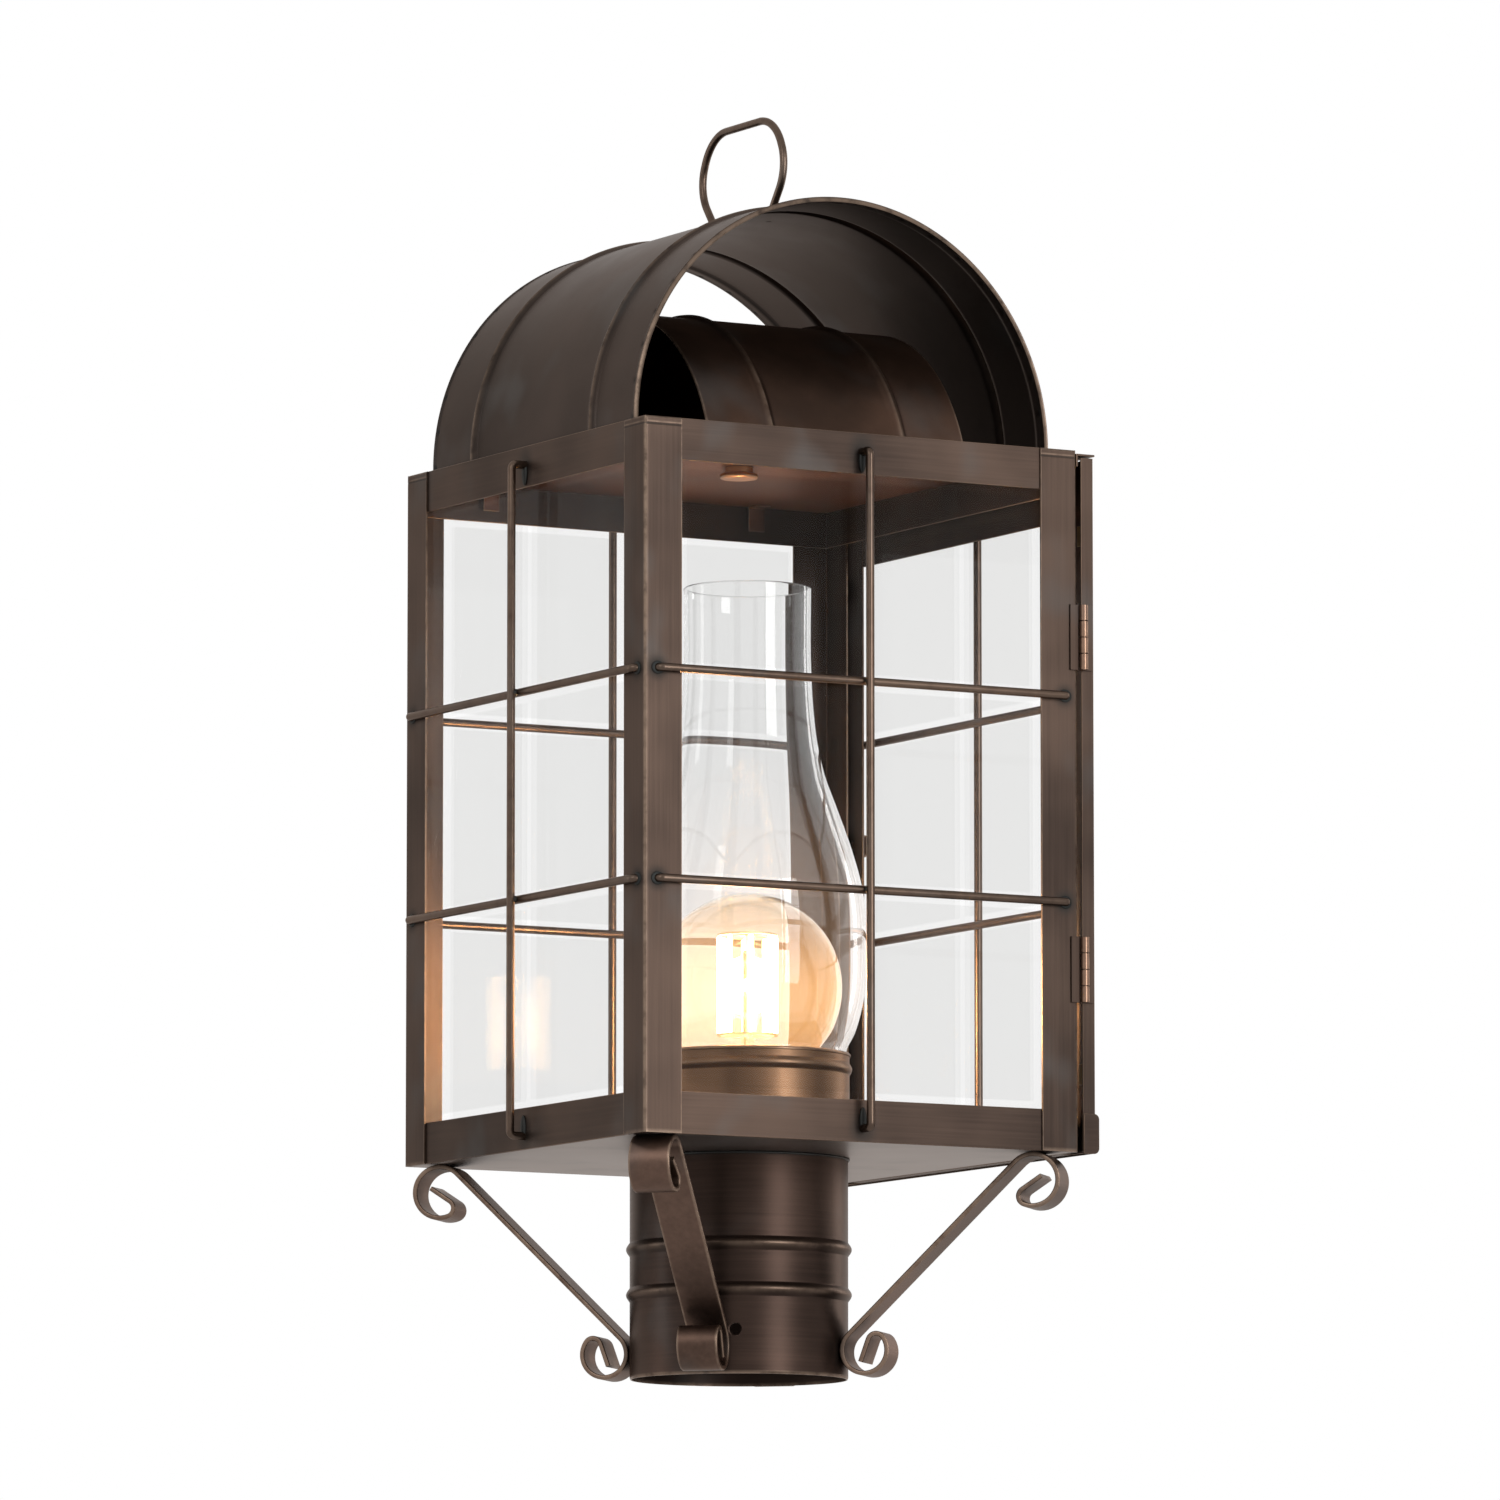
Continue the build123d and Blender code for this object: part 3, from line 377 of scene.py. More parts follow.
def carry(outline, path, origin, out, up):
    """Carries an outline along a flat path. The outline is (across the plane, off the path), the path
    (along out, along up). A point lies at path + off * normal in the plane, plus across * side."""
    out, up, origin = (np.array(v, float) for v in (out, up, origin))
    side = np.cross(out, up)
    along = np.gradient(path, axis=0)
    along /= np.linalg.norm(along, axis=1)[:, None]
    normal = np.stack([-along[:, 1], along[:, 0]], -1)
    outline = np.broadcast_to(outline, (len(path), *outline.shape[-2:]))
    flat = path[:, None, :] + outline[..., 1:] * normal[:, None, :]
    return origin + flat[..., :1] * out + flat[..., 1:] * up + outline[..., :1] * side


def turned(profile, axis_point=(0, 0, 0), around=128):
    """Turns a profile of (radius, height) round an upright axis: each ring is radius * (cos, sin)."""
    angle = np.arange(around) * 2 * np.pi / around
    radius, height = profile[:, :1], profile[:, 1:]
    ring = [radius * np.cos(angle), radius * np.sin(angle), height + 0 * angle]
    return np.stack(ring, -1) + np.array(axis_point, float)


def spin(name, profile, finish, body, node, wear_and_highlight=0.0, soot_and_shade=0.0, axis_point=(0, 0, 0), around=128, sharp=38):
    """A turned profile as a finished piece."""
    grid = turned(profile, axis_point, around)
    return piece(name, [(grid, True, False, wear_and_highlight, soot_and_shade)], finish, body, [node], sharp)


def circle(radius, count=16):
    """Points round a circle, starting so that they pair off across a line."""
    angle = (np.arange(count) + 0.5) * 2 * np.pi / count
    return radius * np.stack([np.cos(angle), np.sin(angle)], -1)


def bump(distance, width):
    """A smooth swell: cos squared of a quarter turn, from 1 at the middle to 0 at width."""
    near = np.clip(np.abs(distance) / width, 0, 1)
    return np.cos(near * np.pi / 2) ** 2


def bead(distance, reach):
    """A rolled bead, smooth at its feet: (1 - (distance / reach) squared) to the power 1.5."""
    return np.clip(1 - (distance / reach) ** 2, 0, 1) ** 1.5


def slab(width, thickness, corner, inset):
    """Outline of a flat strip with rounded edges, and its wear and painted highlight: 1 on the edges, 0
    from inset inwards.
    """
    angle = np.radians([0, 30, 60, 90])
    bend = corner * np.stack([np.cos(angle), np.sin(angle)], -1)
    x, y = width / 2 - corner, thickness / 2 - corner
    first = bend + [x, y]
    flat = np.array([[x - inset, thickness / 2], [inset - x, thickness / 2]])
    half = np.vstack([first, flat, first[::-1] * [-1, 1]])
    outline = np.vstack([half, half[::-1] * [1, -1]])
    wear_and_highlight = np.array([1, 1, 1, 1, 0, 0, 1, 1, 1, 1])
    return outline, np.concatenate([wear_and_highlight, wear_and_highlight])


# %% [markdown]
# The corner posts are angles folded from sheet. What the eye reads is the fold: a small radius that
# the rubbing has brought back to a lighter brown, which is also a painted highlight, and a thin bright
# line of the same painted wear and highlight along each cut edge. The outline runs down one leg, round
# the fold and along the other, then back along the inner faces.

# %% Corner posts


def angle_outline(leg, sheet, fold=1.1):
    """Outline of a folded sheet with its outer corner at (0, 0) and legs along +x and +y, and its wear
    and painted highlight.
    The fold is a quarter circle about (fold, fold); the inner face is the same curve, one sheet in."""
    flat = np.concatenate([[leg], np.linspace(leg - 0.6, fold + 0.8, 10)])
    arc = np.radians(np.linspace(270, 180, 7))
    bend = np.stack([np.cos(arc), np.sin(arc)], -1)
    faces = []
    for depth, round_off in ((0.0, fold), (sheet, fold - sheet)):
        run = np.stack([flat - 0.12 * (flat == leg), depth + 0 * flat], -1)
        faces.append(np.vstack([run, fold + round_off * bend, run[::-1, ::-1]]))
    rest = np.zeros(10)
    wear_and_highlight = np.concatenate([[0.7], rest, [0.1, 0.5, 0.9, 1, 0.9, 0.5, 0.1], rest, [0.7]])
    return np.vstack([faces[0], faces[1][::-1]]), np.concatenate([wear_and_highlight, wear_and_highlight[::-1] * 0.4])


def heat(grid, spots, reach=6.5):
    """How dark solder has made each point: a swell of the distance to the nearest soldered spot."""
    return bump(np.linalg.norm(grid[:, :, None, :] - np.array(spots, float), axis=-1).min(-1), reach)


SHEET = 0.8
UP = (0, 0, 1)
case_low, case_high = span("corner_post_front_left")
half = -case_low[0]
floor_z, top_z = case_low[2], case_high[2]
rail = 16
bars = [floor_z + rail + (top_z - floor_z - 2 * rail) * n / 3 for n in (1, 2)]
foot = half - 5.6
corners = {"front_left": (-1, -1), "front_right": (1, -1), "back_right": (1, 1), "back_left": (-1, 1)}
spots = [(sx * a, sy * b, z) for z in bars for sx, sy in corners.values()
         for a, b in ((half, foot), (foot, half))]

# A fine seam runs round each post 3 mm below its top, and the top's outer edge is rounded over.
leg_outline, leg_wear_and_highlight = angle_outline(16.2, SHEET)
heights = np.concatenate([np.linspace(floor_z, top_z - 5, 172), top_z - np.linspace(4.4, 0, 23)])
below_top = top_z - heights
seam_line = bump(below_top - 3.0, 0.5)
near_top = np.clip(1 - below_top / 0.9, 0, 1)
sink = 0.14 * seam_line + 0.55 * (1 - np.sqrt(1 - near_top ** 2))
outer_face = (leg_outline < 0.3).astype(float)
section = leg_outline[None] + sink[:, None, None] * outer_face[None]
ends = np.maximum(0.6 * np.clip(1 - np.minimum(heights - floor_z, below_top), 0, 1),
                  0.5 * bump(below_top - 2.2, 0.5))
# Lighter on the fold, the cut edges, the ends and a line above the seam: wear and painted highlight.
wear_and_highlight = np.maximum(leg_wear_and_highlight[None, :], ends[:, None])
for corner, (sx, sy) in corners.items():
    grid = np.empty((len(heights), len(leg_outline), 3))
    grid[..., 0] = sx * (half - section[..., 0])
    grid[..., 1] = sy * (half - section[..., 1])
    grid[..., 2] = heights[:, None]
    dark = np.maximum(heat(grid, spots), 0.6 * seam_line[:, None])
    piece(f"post_{corner}", [(grid, True, True, wear_and_highlight, dark)], upright_bronze, "case",
          [f"corner_post_{corner}"])
print("four posts,", len(heights) * len(leg_outline), "points each")

# %% [markdown]
# Flat hardware (rails, clips, plates, hinge leaves, the kick strip) already has its right shape in
# the imported model, but real sheet has no knife edges. Each of these is copied, its loose triangles
# are merged and cleaned to flat faces, and a fine bevel rounds the edges. The bevel's faces take a
# second, lighter finish, which is where hands and cloths have rubbed through the patina, and which
# also paints the highlight along each edge.

# %% Sheet parts with softened edges


PIN_AT, KNUCKLE = (97.25, -96.95), 1.8


def soften(node, body, finish, edge_finish, width=0.22, barrel=None):
    """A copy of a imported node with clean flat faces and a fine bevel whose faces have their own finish.
    barrel is a third finish, for the faces of a hinge's knuckles round its pin."""
    work = bmesh.new()
    work.from_mesh(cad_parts[node].data)
    bmesh.ops.remove_doubles(work, verts=work.verts, dist=2e-6)
    bmesh.ops.dissolve_limit(work, angle_limit=np.radians(0.6), verts=work.verts, edges=work.edges)
    mesh = bpy.data.meshes.new(f"{node}_made")
    work.to_mesh(mesh)
    work.free()
    mesh.materials.clear()
    mesh.materials.append(finish)
    mesh.materials.append(edge_finish)
    index = np.zeros(len(mesh.polygons), dtype=np.int32)
    if barrel:
        mesh.materials.append(barrel)
        centres = np.zeros(3 * len(mesh.polygons))
        mesh.polygons.foreach_get("center", centres)
        from_pin = np.hypot(centres[0::3] / MM - PIN_AT[0], centres[1::3] / MM - PIN_AT[1])
        index[from_pin < KNUCKLE] = 2
    mesh.polygons.foreach_set("material_index", index)
    mesh.shade_smooth()
    mesh.set_sharp_from_angle(angle=np.radians(32))
    made = bpy.data.objects.new(f"{node}_made", mesh)
    scene.collection.objects.link(made)
    # The bevel's faces take the lighter edge finish: rubbed wear and a painted highlight along each edge.
    bevel = made.modifiers.new("rubbed edge", "BEVEL")
    bevel.width, bevel.segments, bevel.limit_method = width * MM, 2, "ANGLE"
    bevel.angle_limit = np.radians(40)
    bevel.material = 1
    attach(made, body)
    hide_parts(node)


for side in ("front", "right", "back", "left"):
    for level in ("bottom", "top"):
        soften(f"{level}_rail_{side}", "case", rail_bronze, edge_wear_and_highlight_bronze)
for node, finish in (("base_plate", base_painted_reflection_bronze), ("ceiling_plate", ceiling_bronze),
                     ("door_lip", level_bronze), ("glass_clips", ceiling_bronze)):
    soften(node, "case", finish, edge_wear_and_highlight_bronze)
for node in ("door_catch", "nipple_washer", "nipple_nut", "ceiling_nut"):
    soften(node, "case", raw_brass, edge_wear_and_highlight_bronze)
soften("hinge_pins", "case", hinge_bronze, edge_wear_and_highlight_bronze, 0.15)
for node, body in (("hinge_case_leaves", "case"), ("hinge_door_leaves", "door")):
    soften(node, body, upright_bronze, upright_bronze, 0.12, barrel=hinge_bronze)
for node in ("door_stile_front", "door_stile_back"):
    soften(node, "door", upright_bronze, edge_wear_and_highlight_bronze)
soften("door_rails", "door", level_bronze, edge_wear_and_highlight_bronze)
soften("kick_strip", "door", level_bronze, edge_wear_and_highlight_bronze, 0.3)
soften("door_tabs", "door", raw_brass, raw_brass)

# %% [markdown]
# The guards are round wires bent square at both ends and soldered to the frame. On each face two
# level wires lie close to the case and one upright passes in front of them. Every foot sits in a
# small dark fillet of solder, and a bead of it holds each crossing.

# %% Guard wires
WIRE = 1.6
BEND = 1.9
DOOR_FACE = 102.65
UPRIGHT_LOW, UPRIGHT_HIGH = floor_z + 5.2, top_z - 7.4


def staple(low, high, reach, foot_at=0.0):
    """Path of one wire: out of the face, a bend, the long run, a bend and back in."""
    turn_in = (np.pi / 2 * BEND, 90)
    moves = [(reach - BEND - foot_at, 0), turn_in, (high - low - 2 * BEND, 0), turn_in, (reach - BEND, 0)]
    return stroke((foot_at, low), 0.0, moves, step=0.4)


def blob(centre, sizes, dark):
    """A soft lump: a ball stretched by three sizes, a little uneven."""
    up = np.linspace(-np.pi / 2, np.pi / 2, 13)[:, None]
    around = (np.arange(20) * 2 * np.pi / 20)[None, :]
    uneven = 1 + (0.07 * np.sin(3 * around + centre[2]) + 0.05 * np.cos(5 * around)) * np.cos(up)
    ball = np.stack([np.cos(up) * np.cos(around) * uneven, np.cos(up) * np.sin(around) * uneven,
                     np.sin(up) + 0 * around], -1)
    return ball * np.array(sizes, float) + np.array(centre, float), True, False, 0.0, dark


sides = {"front": ((0, -1, 0), (1, 0, 0)), "right": ((1, 0, 0), (0, 1, 0)),
         "back": ((0, 1, 0), (-1, 0, 0)), "left": ((-1, 0, 0), (0, -1, 0))}
for side, (outward, along) in sides.items():
    outward, along, up = (np.array(v, float) for v in (outward, along, UP))
    on_door = side == "right"
    face = DOOR_FACE if on_door else half
    shells, lumps = [], []
    for z in bars:
        grid = carry(circle(WIRE), staple(-foot, foot, 2.0), outward * face + up * z, outward, along)
        shells.append((grid, True, True, 0.2, 0.0))
        for end in (-foot, foot):
            spread = np.abs(outward) * 0.55 + np.abs(along) * 2.7 + up * 2.5
            lumps.append(blob(outward * (face + 0.15) + along * end + up * z, spread, 0.9))
        lumps.append(blob(outward * (face + 3.9) + up * z, np.array([1.9, 1.9, 1.5]), 0.5))
    base = face if on_door else half - SHEET
    on_kick = 1.5 if on_door else 0.0
    path = staple(UPRIGHT_LOW, UPRIGHT_HIGH, 5.25 + face - base, on_kick)
    shells.append((carry(circle(WIRE), path, outward * base, outward, up), True, True, 0.2, 0.0))
    spread = np.abs(outward) * 0.9 + np.abs(along) * 1.5 + up * 4.8
    for pad_z, stand in ((UPRIGHT_LOW + 3.2, on_kick), (UPRIGHT_HIGH - 3.2, 0.0)):
        lumps.append(blob(outward * (base + stand + 0.35) + up * pad_z, spread, 0.7))
    body = "door" if on_door else "case"
    piece(f"guard_{side}", shells, wire_bronze, body, [f"guard_wires_{side}"])
    piece(f"guard_solder_{side}", lumps, solder_metal, body)
print("guards: 12 wires of", 2 * WIRE, "mm")

# %% [markdown]
# The post fitter is a tube of the same sheet with two beads rolled into it for stiffness. It is a
# profile turned round the axis, down the outside and back up the inside. Three set-screw holes are
# cut with a boolean, which is applied at once so that only the finished tube is kept. A thin uneven
# ring of solder joins it to the base plate.

# %% Post fitter
FITTER_R = 42.075
BEADS = (32.5, 50.0)
z = np.concatenate([np.linspace(0, 0.8, 4), np.linspace(1.5, 28.5, 16), np.linspace(29, 36, 36),
                    np.linspace(37, 46, 8), np.linspace(46.5, 53.5, 36), np.linspace(54.5, 84.9, 18)])
swell = 1.4 * sum(bead(z - at, 2.8) for at in BEADS)
outside = np.stack([FITTER_R - 0.3 * bump(z, SHEET) + swell, z], -1)
inside = np.stack([FITTER_R - SHEET + 0.9 * swell, z], -1)[::-1]
fitter_loop = np.vstack([outside, inside, outside[:1]])
z = fitter_loop[:, 1:]
# Lighter at the foot's edge, which is wear, and on the beads' crests, which is wear and a painted
# highlight.
rubbed_and_highlit = np.clip(1 - z / 1.4, 0, 1) + 0.3 * sum(bump(z - at, 2.2) for at in BEADS)
fitter = spin("fitter", fitter_loop, fitter_bronze, "case", "post_fitter", np.clip(rubbed_and_highlit, 0, 1),
              0.7 * np.clip(1 - (floor_z - z) / 2, 0, 1), around=192)
for bearing in np.radians([238.5, 358.5, 478.5]):
    outward = (np.cos(bearing), np.sin(bearing), 0)
    path = np.array([[34, 0], [36, 0], [46, 0], [48, 0.0]])
    grid = carry(circle(2.2, 32), path, (0, 0, 17), outward, UP)
    cutter = piece("hole_cutter", [(grid, True, True, 0.0, 1.0)], level_bronze, "case")
    cut = fitter.modifiers.new("hole", "BOOLEAN")
    cut.operation, cut.solver, cut.object = "DIFFERENCE", "EXACT", cutter
    shape = bpy.data.meshes.new_from_object(fitter.evaluated_get(bpy.context.evaluated_depsgraph_get()))
    fitter.modifiers.remove(cut)
    fitter.data = shape
    bpy.data.objects.remove(cutter)
fitter.data.name = "fitter"

around = (np.arange(240) * 2 * np.pi / 240)[:, None]
thick = 0.55 + 0.12 * np.sin(7 * around) + 0.08 * np.sin(17 * around + 1) + 0.25 * bump(around - 4.28, 0.14)
rim, rise = circle(1.0, 12).T
seam_radius = 42.2 + rim * thick
seam_z = 84.55 + 0.8 * rise * thick
seam = np.stack([seam_radius * np.cos(around), seam_radius * np.sin(around), seam_z], -1)
seam = np.concatenate([seam, seam[:1]], 0)
piece("fitter_solder", [(seam, True, False, 0.0, 0.6)], solder_metal, "case")
print("fitter faces:", len(fitter.data.polygons))

# %% [markdown]
# Each bracket is one flat strip. A pen stroke draws its middle line: a short straight tail, a tight
# hook, a large scroll, the long run, and the same again at the other end. The strip keeps square
# edges with a small radius, rubbed bright, which also paints their highlight, and its flat faces stay dark.

# %% Scrolled brackets
STRIP = 1.8
SCROLL_LOW, SCROLL_HIGH = 8.8, 9.9
centre_low = np.array([FITTER_R, 0.5]) + STRIP / 2 + SCROLL_LOW
centre_high = np.array([half * np.sqrt(2) - 16.5, floor_z - STRIP / 2 - SCROLL_HIGH])
reach_out, reach_up = centre_high - centre_low
lean = np.arcsin((SCROLL_HIGH - SCROLL_LOW) / np.hypot(reach_out, reach_up))
slope = np.arctan2(reach_up, reach_out) + lean
square_off = np.array([-np.sin(slope), np.cos(slope)])
run_from, run_to = centre_low + SCROLL_LOW * square_off, centre_high + SCROLL_HIGH * square_off
hook, tail = np.array([3.25 * np.radians(126), 126]), (9.2, 0)
lower = stroke(run_from, slope + np.pi, [(SCROLL_LOW * np.radians(260), 260), hook, tail])
upper = stroke(run_from, slope, [(np.linalg.norm(run_to - run_from), 0),
                                 (SCROLL_HIGH * np.radians(245), -245), hook * [1, -1], tail])
spine = np.vstack([lower[::-1], upper[1:]])
strip, strip_wear_and_highlight = slab(16.0, STRIP, 0.45, 0.55)
ends = np.clip(1 - np.minimum(np.arange(len(spine)), np.arange(len(spine))[::-1]) / 2, 0, 1)[:, None]
# Lighter on the strip's edges and ends: wear and painted highlight.
wear_and_highlight = 0.75 * np.maximum(strip_wear_and_highlight[None, :], ends)
contact = bump(spine[:, 1:] - floor_z, 3.5) + bump(spine[:, :1] - 42.9, 2.5)
for corner, (sx, sy) in corners.items():
    grid = carry(strip, spine, (0, 0, 0), (sx * np.sqrt(0.5), sy * np.sqrt(0.5), 0), UP)
    piece(f"bracket_{corner}", [(grid, True, True, wear_and_highlight, 0.55 * np.clip(contact, 0, 1))], bracket_bronze,
          "case", [f"scroll_bracket_{corner}"])
print("bracket strip is", round(float(np.linalg.norm(np.diff(spine, axis=0), axis=1).sum())), "mm long")

# %% [markdown]
# The roof is one sheet rolled to a half barrel and open at both ends. Two beads were pressed into it
# before rolling, so they stand out above and show as grooves below; their crests are lighter as wear
# and as a painted highlight. Each open end is turned back in a hem; the fold was nicked so that it
# could follow the curve, and each nick is a small dent painted dark as its shadow.
# The outline across the sheet is (place along the barrel, offset), and it is carried round the arch.

# %% Barrel roof and the hood below it


def barrel_outline(half_length, beads, hem, count=134):
    """Outline across a beaded sheet, and its wear and painted highlight on beads and hem ends: outer face
    there, inner face back, ends rounded.
    Points crowd towards the ends: place = half length * (1 - (1 - share) to the power 1.25)."""
    near = np.linspace(-1, 1, count)
    y = half_length * np.sign(near) * (1 - (1 - np.abs(near)) ** 1.25)
    past = np.abs(y) - half_length
    wall = SHEET + (SHEET * np.clip((past + hem) / 0.5, 0, 1) if hem else 0)
    ridge = 1.6 * sum(bump(y - at, 2.7) for at in beads)
    roll = 0.5 * bump(past + 1.3, 1.1) if hem else 0 * y
    blend = np.sqrt(np.clip(1 - np.clip((past + wall / 2) / (wall / 2), 0, 1) ** 2, 0, 1))
    middle = ridge + roll / 2 - wall / 2
    outer = np.stack([y, middle + (wall / 2 + roll / 2) * blend], -1)
    inner = np.stack([y, middle - (wall / 2 + roll / 2) * blend], -1)
    wear_and_highlight = np.clip(0.5 * sum(bump(y - at, 1.5) for at in beads) + bump(past, 1.2), 0, 1)
    return np.vstack([outer, inner[::-1]]), np.concatenate([wear_and_highlight, wear_and_highlight[::-1]])


def arch(radius, centre_z, foot_z, step):
    """Middle line of a barrel from the right foot over the crest to the left: an arc, with straight
    feet where they stand lower than its centre."""
    start = np.arcsin(np.clip((foot_z - centre_z) / radius, -1, 1)) if foot_z > centre_z else 0.0
    angle = np.linspace(start, np.pi - start, int(radius * (np.pi - 2 * start) / step))
    arc = np.stack([radius * np.cos(angle), centre_z + radius * np.sin(angle)], -1)
    if foot_z >= centre_z:
        return arc
    drop = np.array([[radius, foot_z], [radius, (foot_z + centre_z) / 2]])
    return np.vstack([drop, arc, drop[::-1] * [-1, 1]])


roof_foot = span("roof_vault")[0][2]
roof_outline, roof_wear_and_highlight = barrel_outline(81.0, (-47, 47), 7.0)
roof_line = arch(91.4, 357.1, roof_foot, 0.8)
walked = np.concatenate([[0], np.cumsum(np.linalg.norm(np.diff(roof_line, axis=0), axis=1))])
NICK_EVERY = 14.3
tooth = bump(np.mod(walked + 4.5, NICK_EVERY) - NICK_EVERY / 2, 1.7)[:, None]
from_middle = np.abs(roof_outline[:, 0])[None, :]
nick = tooth * bump(from_middle - 78.6, 1.5)
outline = np.broadcast_to(roof_outline, (len(roof_line), *roof_outline.shape)).copy()
facing = np.where(np.arange(len(roof_outline)) < len(roof_outline) // 2, -1, 1)
outline[..., 1] += facing * 0.28 * nick
seams = 0.5 * (bump(from_middle - 78.9, 0.9) + bump(from_middle - 74, 0.8) * (facing > 0))
feet = 0.5 * bump(np.minimum(walked, walked[-1] - walked), 3.0)[:, None]
# Dark along the hem's seams and at the feet, which are joints, and in the nicks, where the dark is painted
# shadow.
roof_dark_joints_and_nick_shadow = np.clip(nick + seams + feet, 0, 1)
print("roof sheet is", round(float(walked[-1])), "mm long and 162 mm wide")

# %% Place the roof and the hood
flip = np.array([1.0, -1.0])
grid = carry(outline * flip, roof_line, (0, 0, 0), (1, 0, 0), UP)
piece("roof", [(grid, True, True, roof_wear_and_highlight, roof_dark_joints_and_nick_shadow)], roof_bronze, "case", ["roof_vault"])

hood_low, hood_high = span("vent_hood")
hood_rise = hood_high[2] - 1.6 - hood_low[2]
half_chord = 76.0
hood_radius = (half_chord ** 2 + hood_rise ** 2) / (2 * hood_rise)
hood_centre = hood_low[2] + hood_rise - hood_radius
hood_outline, hood_wear_and_highlight = barrel_outline(57.0, (-29, 29), 0)
hood_line = arch(hood_radius, hood_centre, hood_low[2], 1.4)
grid = carry(hood_outline * flip, hood_line, (0, 0, 0), (0, 1, 0), UP)
piece("hood", [(grid, True, True, hood_wear_and_highlight, 0.0)], hood_bronze, "case", ["vent_hood"])
print("hood radius", round(float(hood_radius), 2), "crest", round(float(hood_centre + hood_radius), 2))

# %% [markdown]
# The carrying loop is one wire bent by hand: its feet stand on the roof's crest, the sides lean out,
# and two tight bends bring it over the top. Its corners are drawn as a chain of straight runs and
# arcs that touch both runs, and its feet sit in solder.

# %% Loop


def rounded(corners, radii):
    """A path through corners with arcs of the given radii. At a corner that turns by t, the arc starts
    radius * tan(t/2) before it and is radius * t long."""
    corners = np.array(corners, float)
    runs = np.diff(corners, axis=0)
    lengths = np.linalg.norm(runs, axis=1)
    headings = np.unwrap(np.arctan2(runs[:, 1], runs[:, 0]))
    turns = np.diff(headings)
    trims = np.array(radii) * np.tan(np.abs(turns) / 2)
    straight = lengths - np.concatenate([[0], trims]) - np.concatenate([trims, [0]])
    moves = []
    for n, length in enumerate(straight):
        moves.append((length, 0))
        if n < len(turns):
            moves.append((radii[n] * abs(turns[n]), np.degrees(turns[n])))
    return stroke(corners[0], headings[0], moves)


CREST, LOOP_Y, LOOP_FOOT = 448.5, -3.2, 20.0
bends = [(-LOOP_FOOT, 0), (-34.3, 18.8), (-24.7, 39.6), (24.7, 39.6), (34.3, 18.8), (LOOP_FOOT, 0)]
grid = carry(circle(1.5), rounded(bends, (16.5, 18.5, 18.5, 16.5)), (0, LOOP_Y, CREST), (0, 1, 0), UP)
piece("loop", [(grid, True, True, 0.3, 0.0)], wire_bronze, "case", ["top_loop"])
lumps = [blob((0, LOOP_Y + y, CREST + 0.1), (2.6, 3.6, 1.0), 0.7) for y in (-LOOP_FOOT, LOOP_FOOT)]
piece("loop_solder", lumps, solder_metal, "case")

# %% [markdown]
# Inside stands the lamp. The gallery is a spun cup: a rolled rim, a bead below it, a plain wall and a
# ledge inside that the chimney rests on. Its profile runs up the outside, over the rim and down the
# inside. The ceiling button and the door's knob are turned too.

# %% Gallery, button and knob
lamp = np.array([3.8, 0, 0])


def disc_arc(centre, radius, start, end, count=9):
    """Part of a circle, from one angle to another in degrees."""
    angle = np.radians(np.linspace(start, end, count))
    return np.array(centre) + radius * np.stack([np.cos(angle), np.sin(angle)], -1)


GALLERY_BEAD = 119.8
z = np.concatenate([np.linspace(86, 116.5, 12), np.linspace(117, 122.4, 30), np.linspace(122.8, 124.6, 4)])
gallery_outside = np.stack([39.4 + bead(z - GALLERY_BEAD, 2.4), z], -1)
gallery_rim = disc_arc((39.0, 125.1), 0.9, -20, 200)
gallery_inside = [[38.6, 124.0], [38.6, 113.4], [38.3, 113.0], [33.2, 113.0], [33.0, 112.8], [33.0, 112.4],
                  [33.2, 112.2], [38.2, 112.2], [38.6, 111.8], [38.6, 87.0], [38.2, 86.8], [4.9, 86.8],
                  [4.9, 86.0]]
gallery_loop = np.vstack([gallery_outside, gallery_rim, gallery_inside, gallery_outside[:1]])
z = gallery_loop[:, 1:]
spin("gallery", gallery_loop, gallery_bronze, "case", "chimney_gallery", axis_point=lamp, around=160,
     wear_and_highlight=np.clip(bump(z - 125.6, 1.0) + 0.3 * bump(z - GALLERY_BEAD, 1.8), 0, 1))

button = np.vstack([[[0.0, 349.85]], disc_arc((6.6, 350.75), 0.9, -90, 30),
                    [[7.3, 351.6], [6.4, 352.1], [5.5, 352.3], [5.5, 354.2], [2.5, 354.2], [2.5, 358.6],
                     [0.0, 358.7]]])
spin("button", button, button_painted_lamp_light_bronze, "case", "ceiling_button", bump(button[:, 1:] - 350.4, 1.2), around=64)

knob = np.array([[0, -0.8], [1.5, -0.8], [1.5, 0], [2.9, 0], [3.0, 0.2], [3.0, 0.6], [2.8, 0.8], [2.1, 1.4],
                 [2.0, 1.7], [2.4, 2.2], [3.6, 2.8], [4.3, 3.4], [4.5, 4.1], [4.45, 4.8], [4.0, 5.4],
                 [3.0, 5.8], [1.5, 6.0], [0, 6.0]])
middle_z = (floor_z + top_z) / 2
grid = turned(knob, around=48)[..., [2, 0, 1]] + np.array([DOOR_FACE, 87.15, middle_z])
piece("knob", [(grid, True, False, 0.6 * bump(knob[:, 1:] - 4.1, 1.4), 0.0)], hinge_bronze, "door",
      ["door_knob"])

# %% [markdown]
# Clear glass is two finishes. Curved glass (the chimney and the bulb) bends light, which gives its dark
# rims and bright streaks, so it is a Principled shader with full transmission; for the lamps' rays it
# turns transparent, so that light still gets in. The flat panes bend nothing: they are transparent
# with a mirror on top, stronger at a glancing angle. They carry a faint grey film, left off beside
# the frame and behind the guards, where the clean glass shows white.

# %% Glass finishes


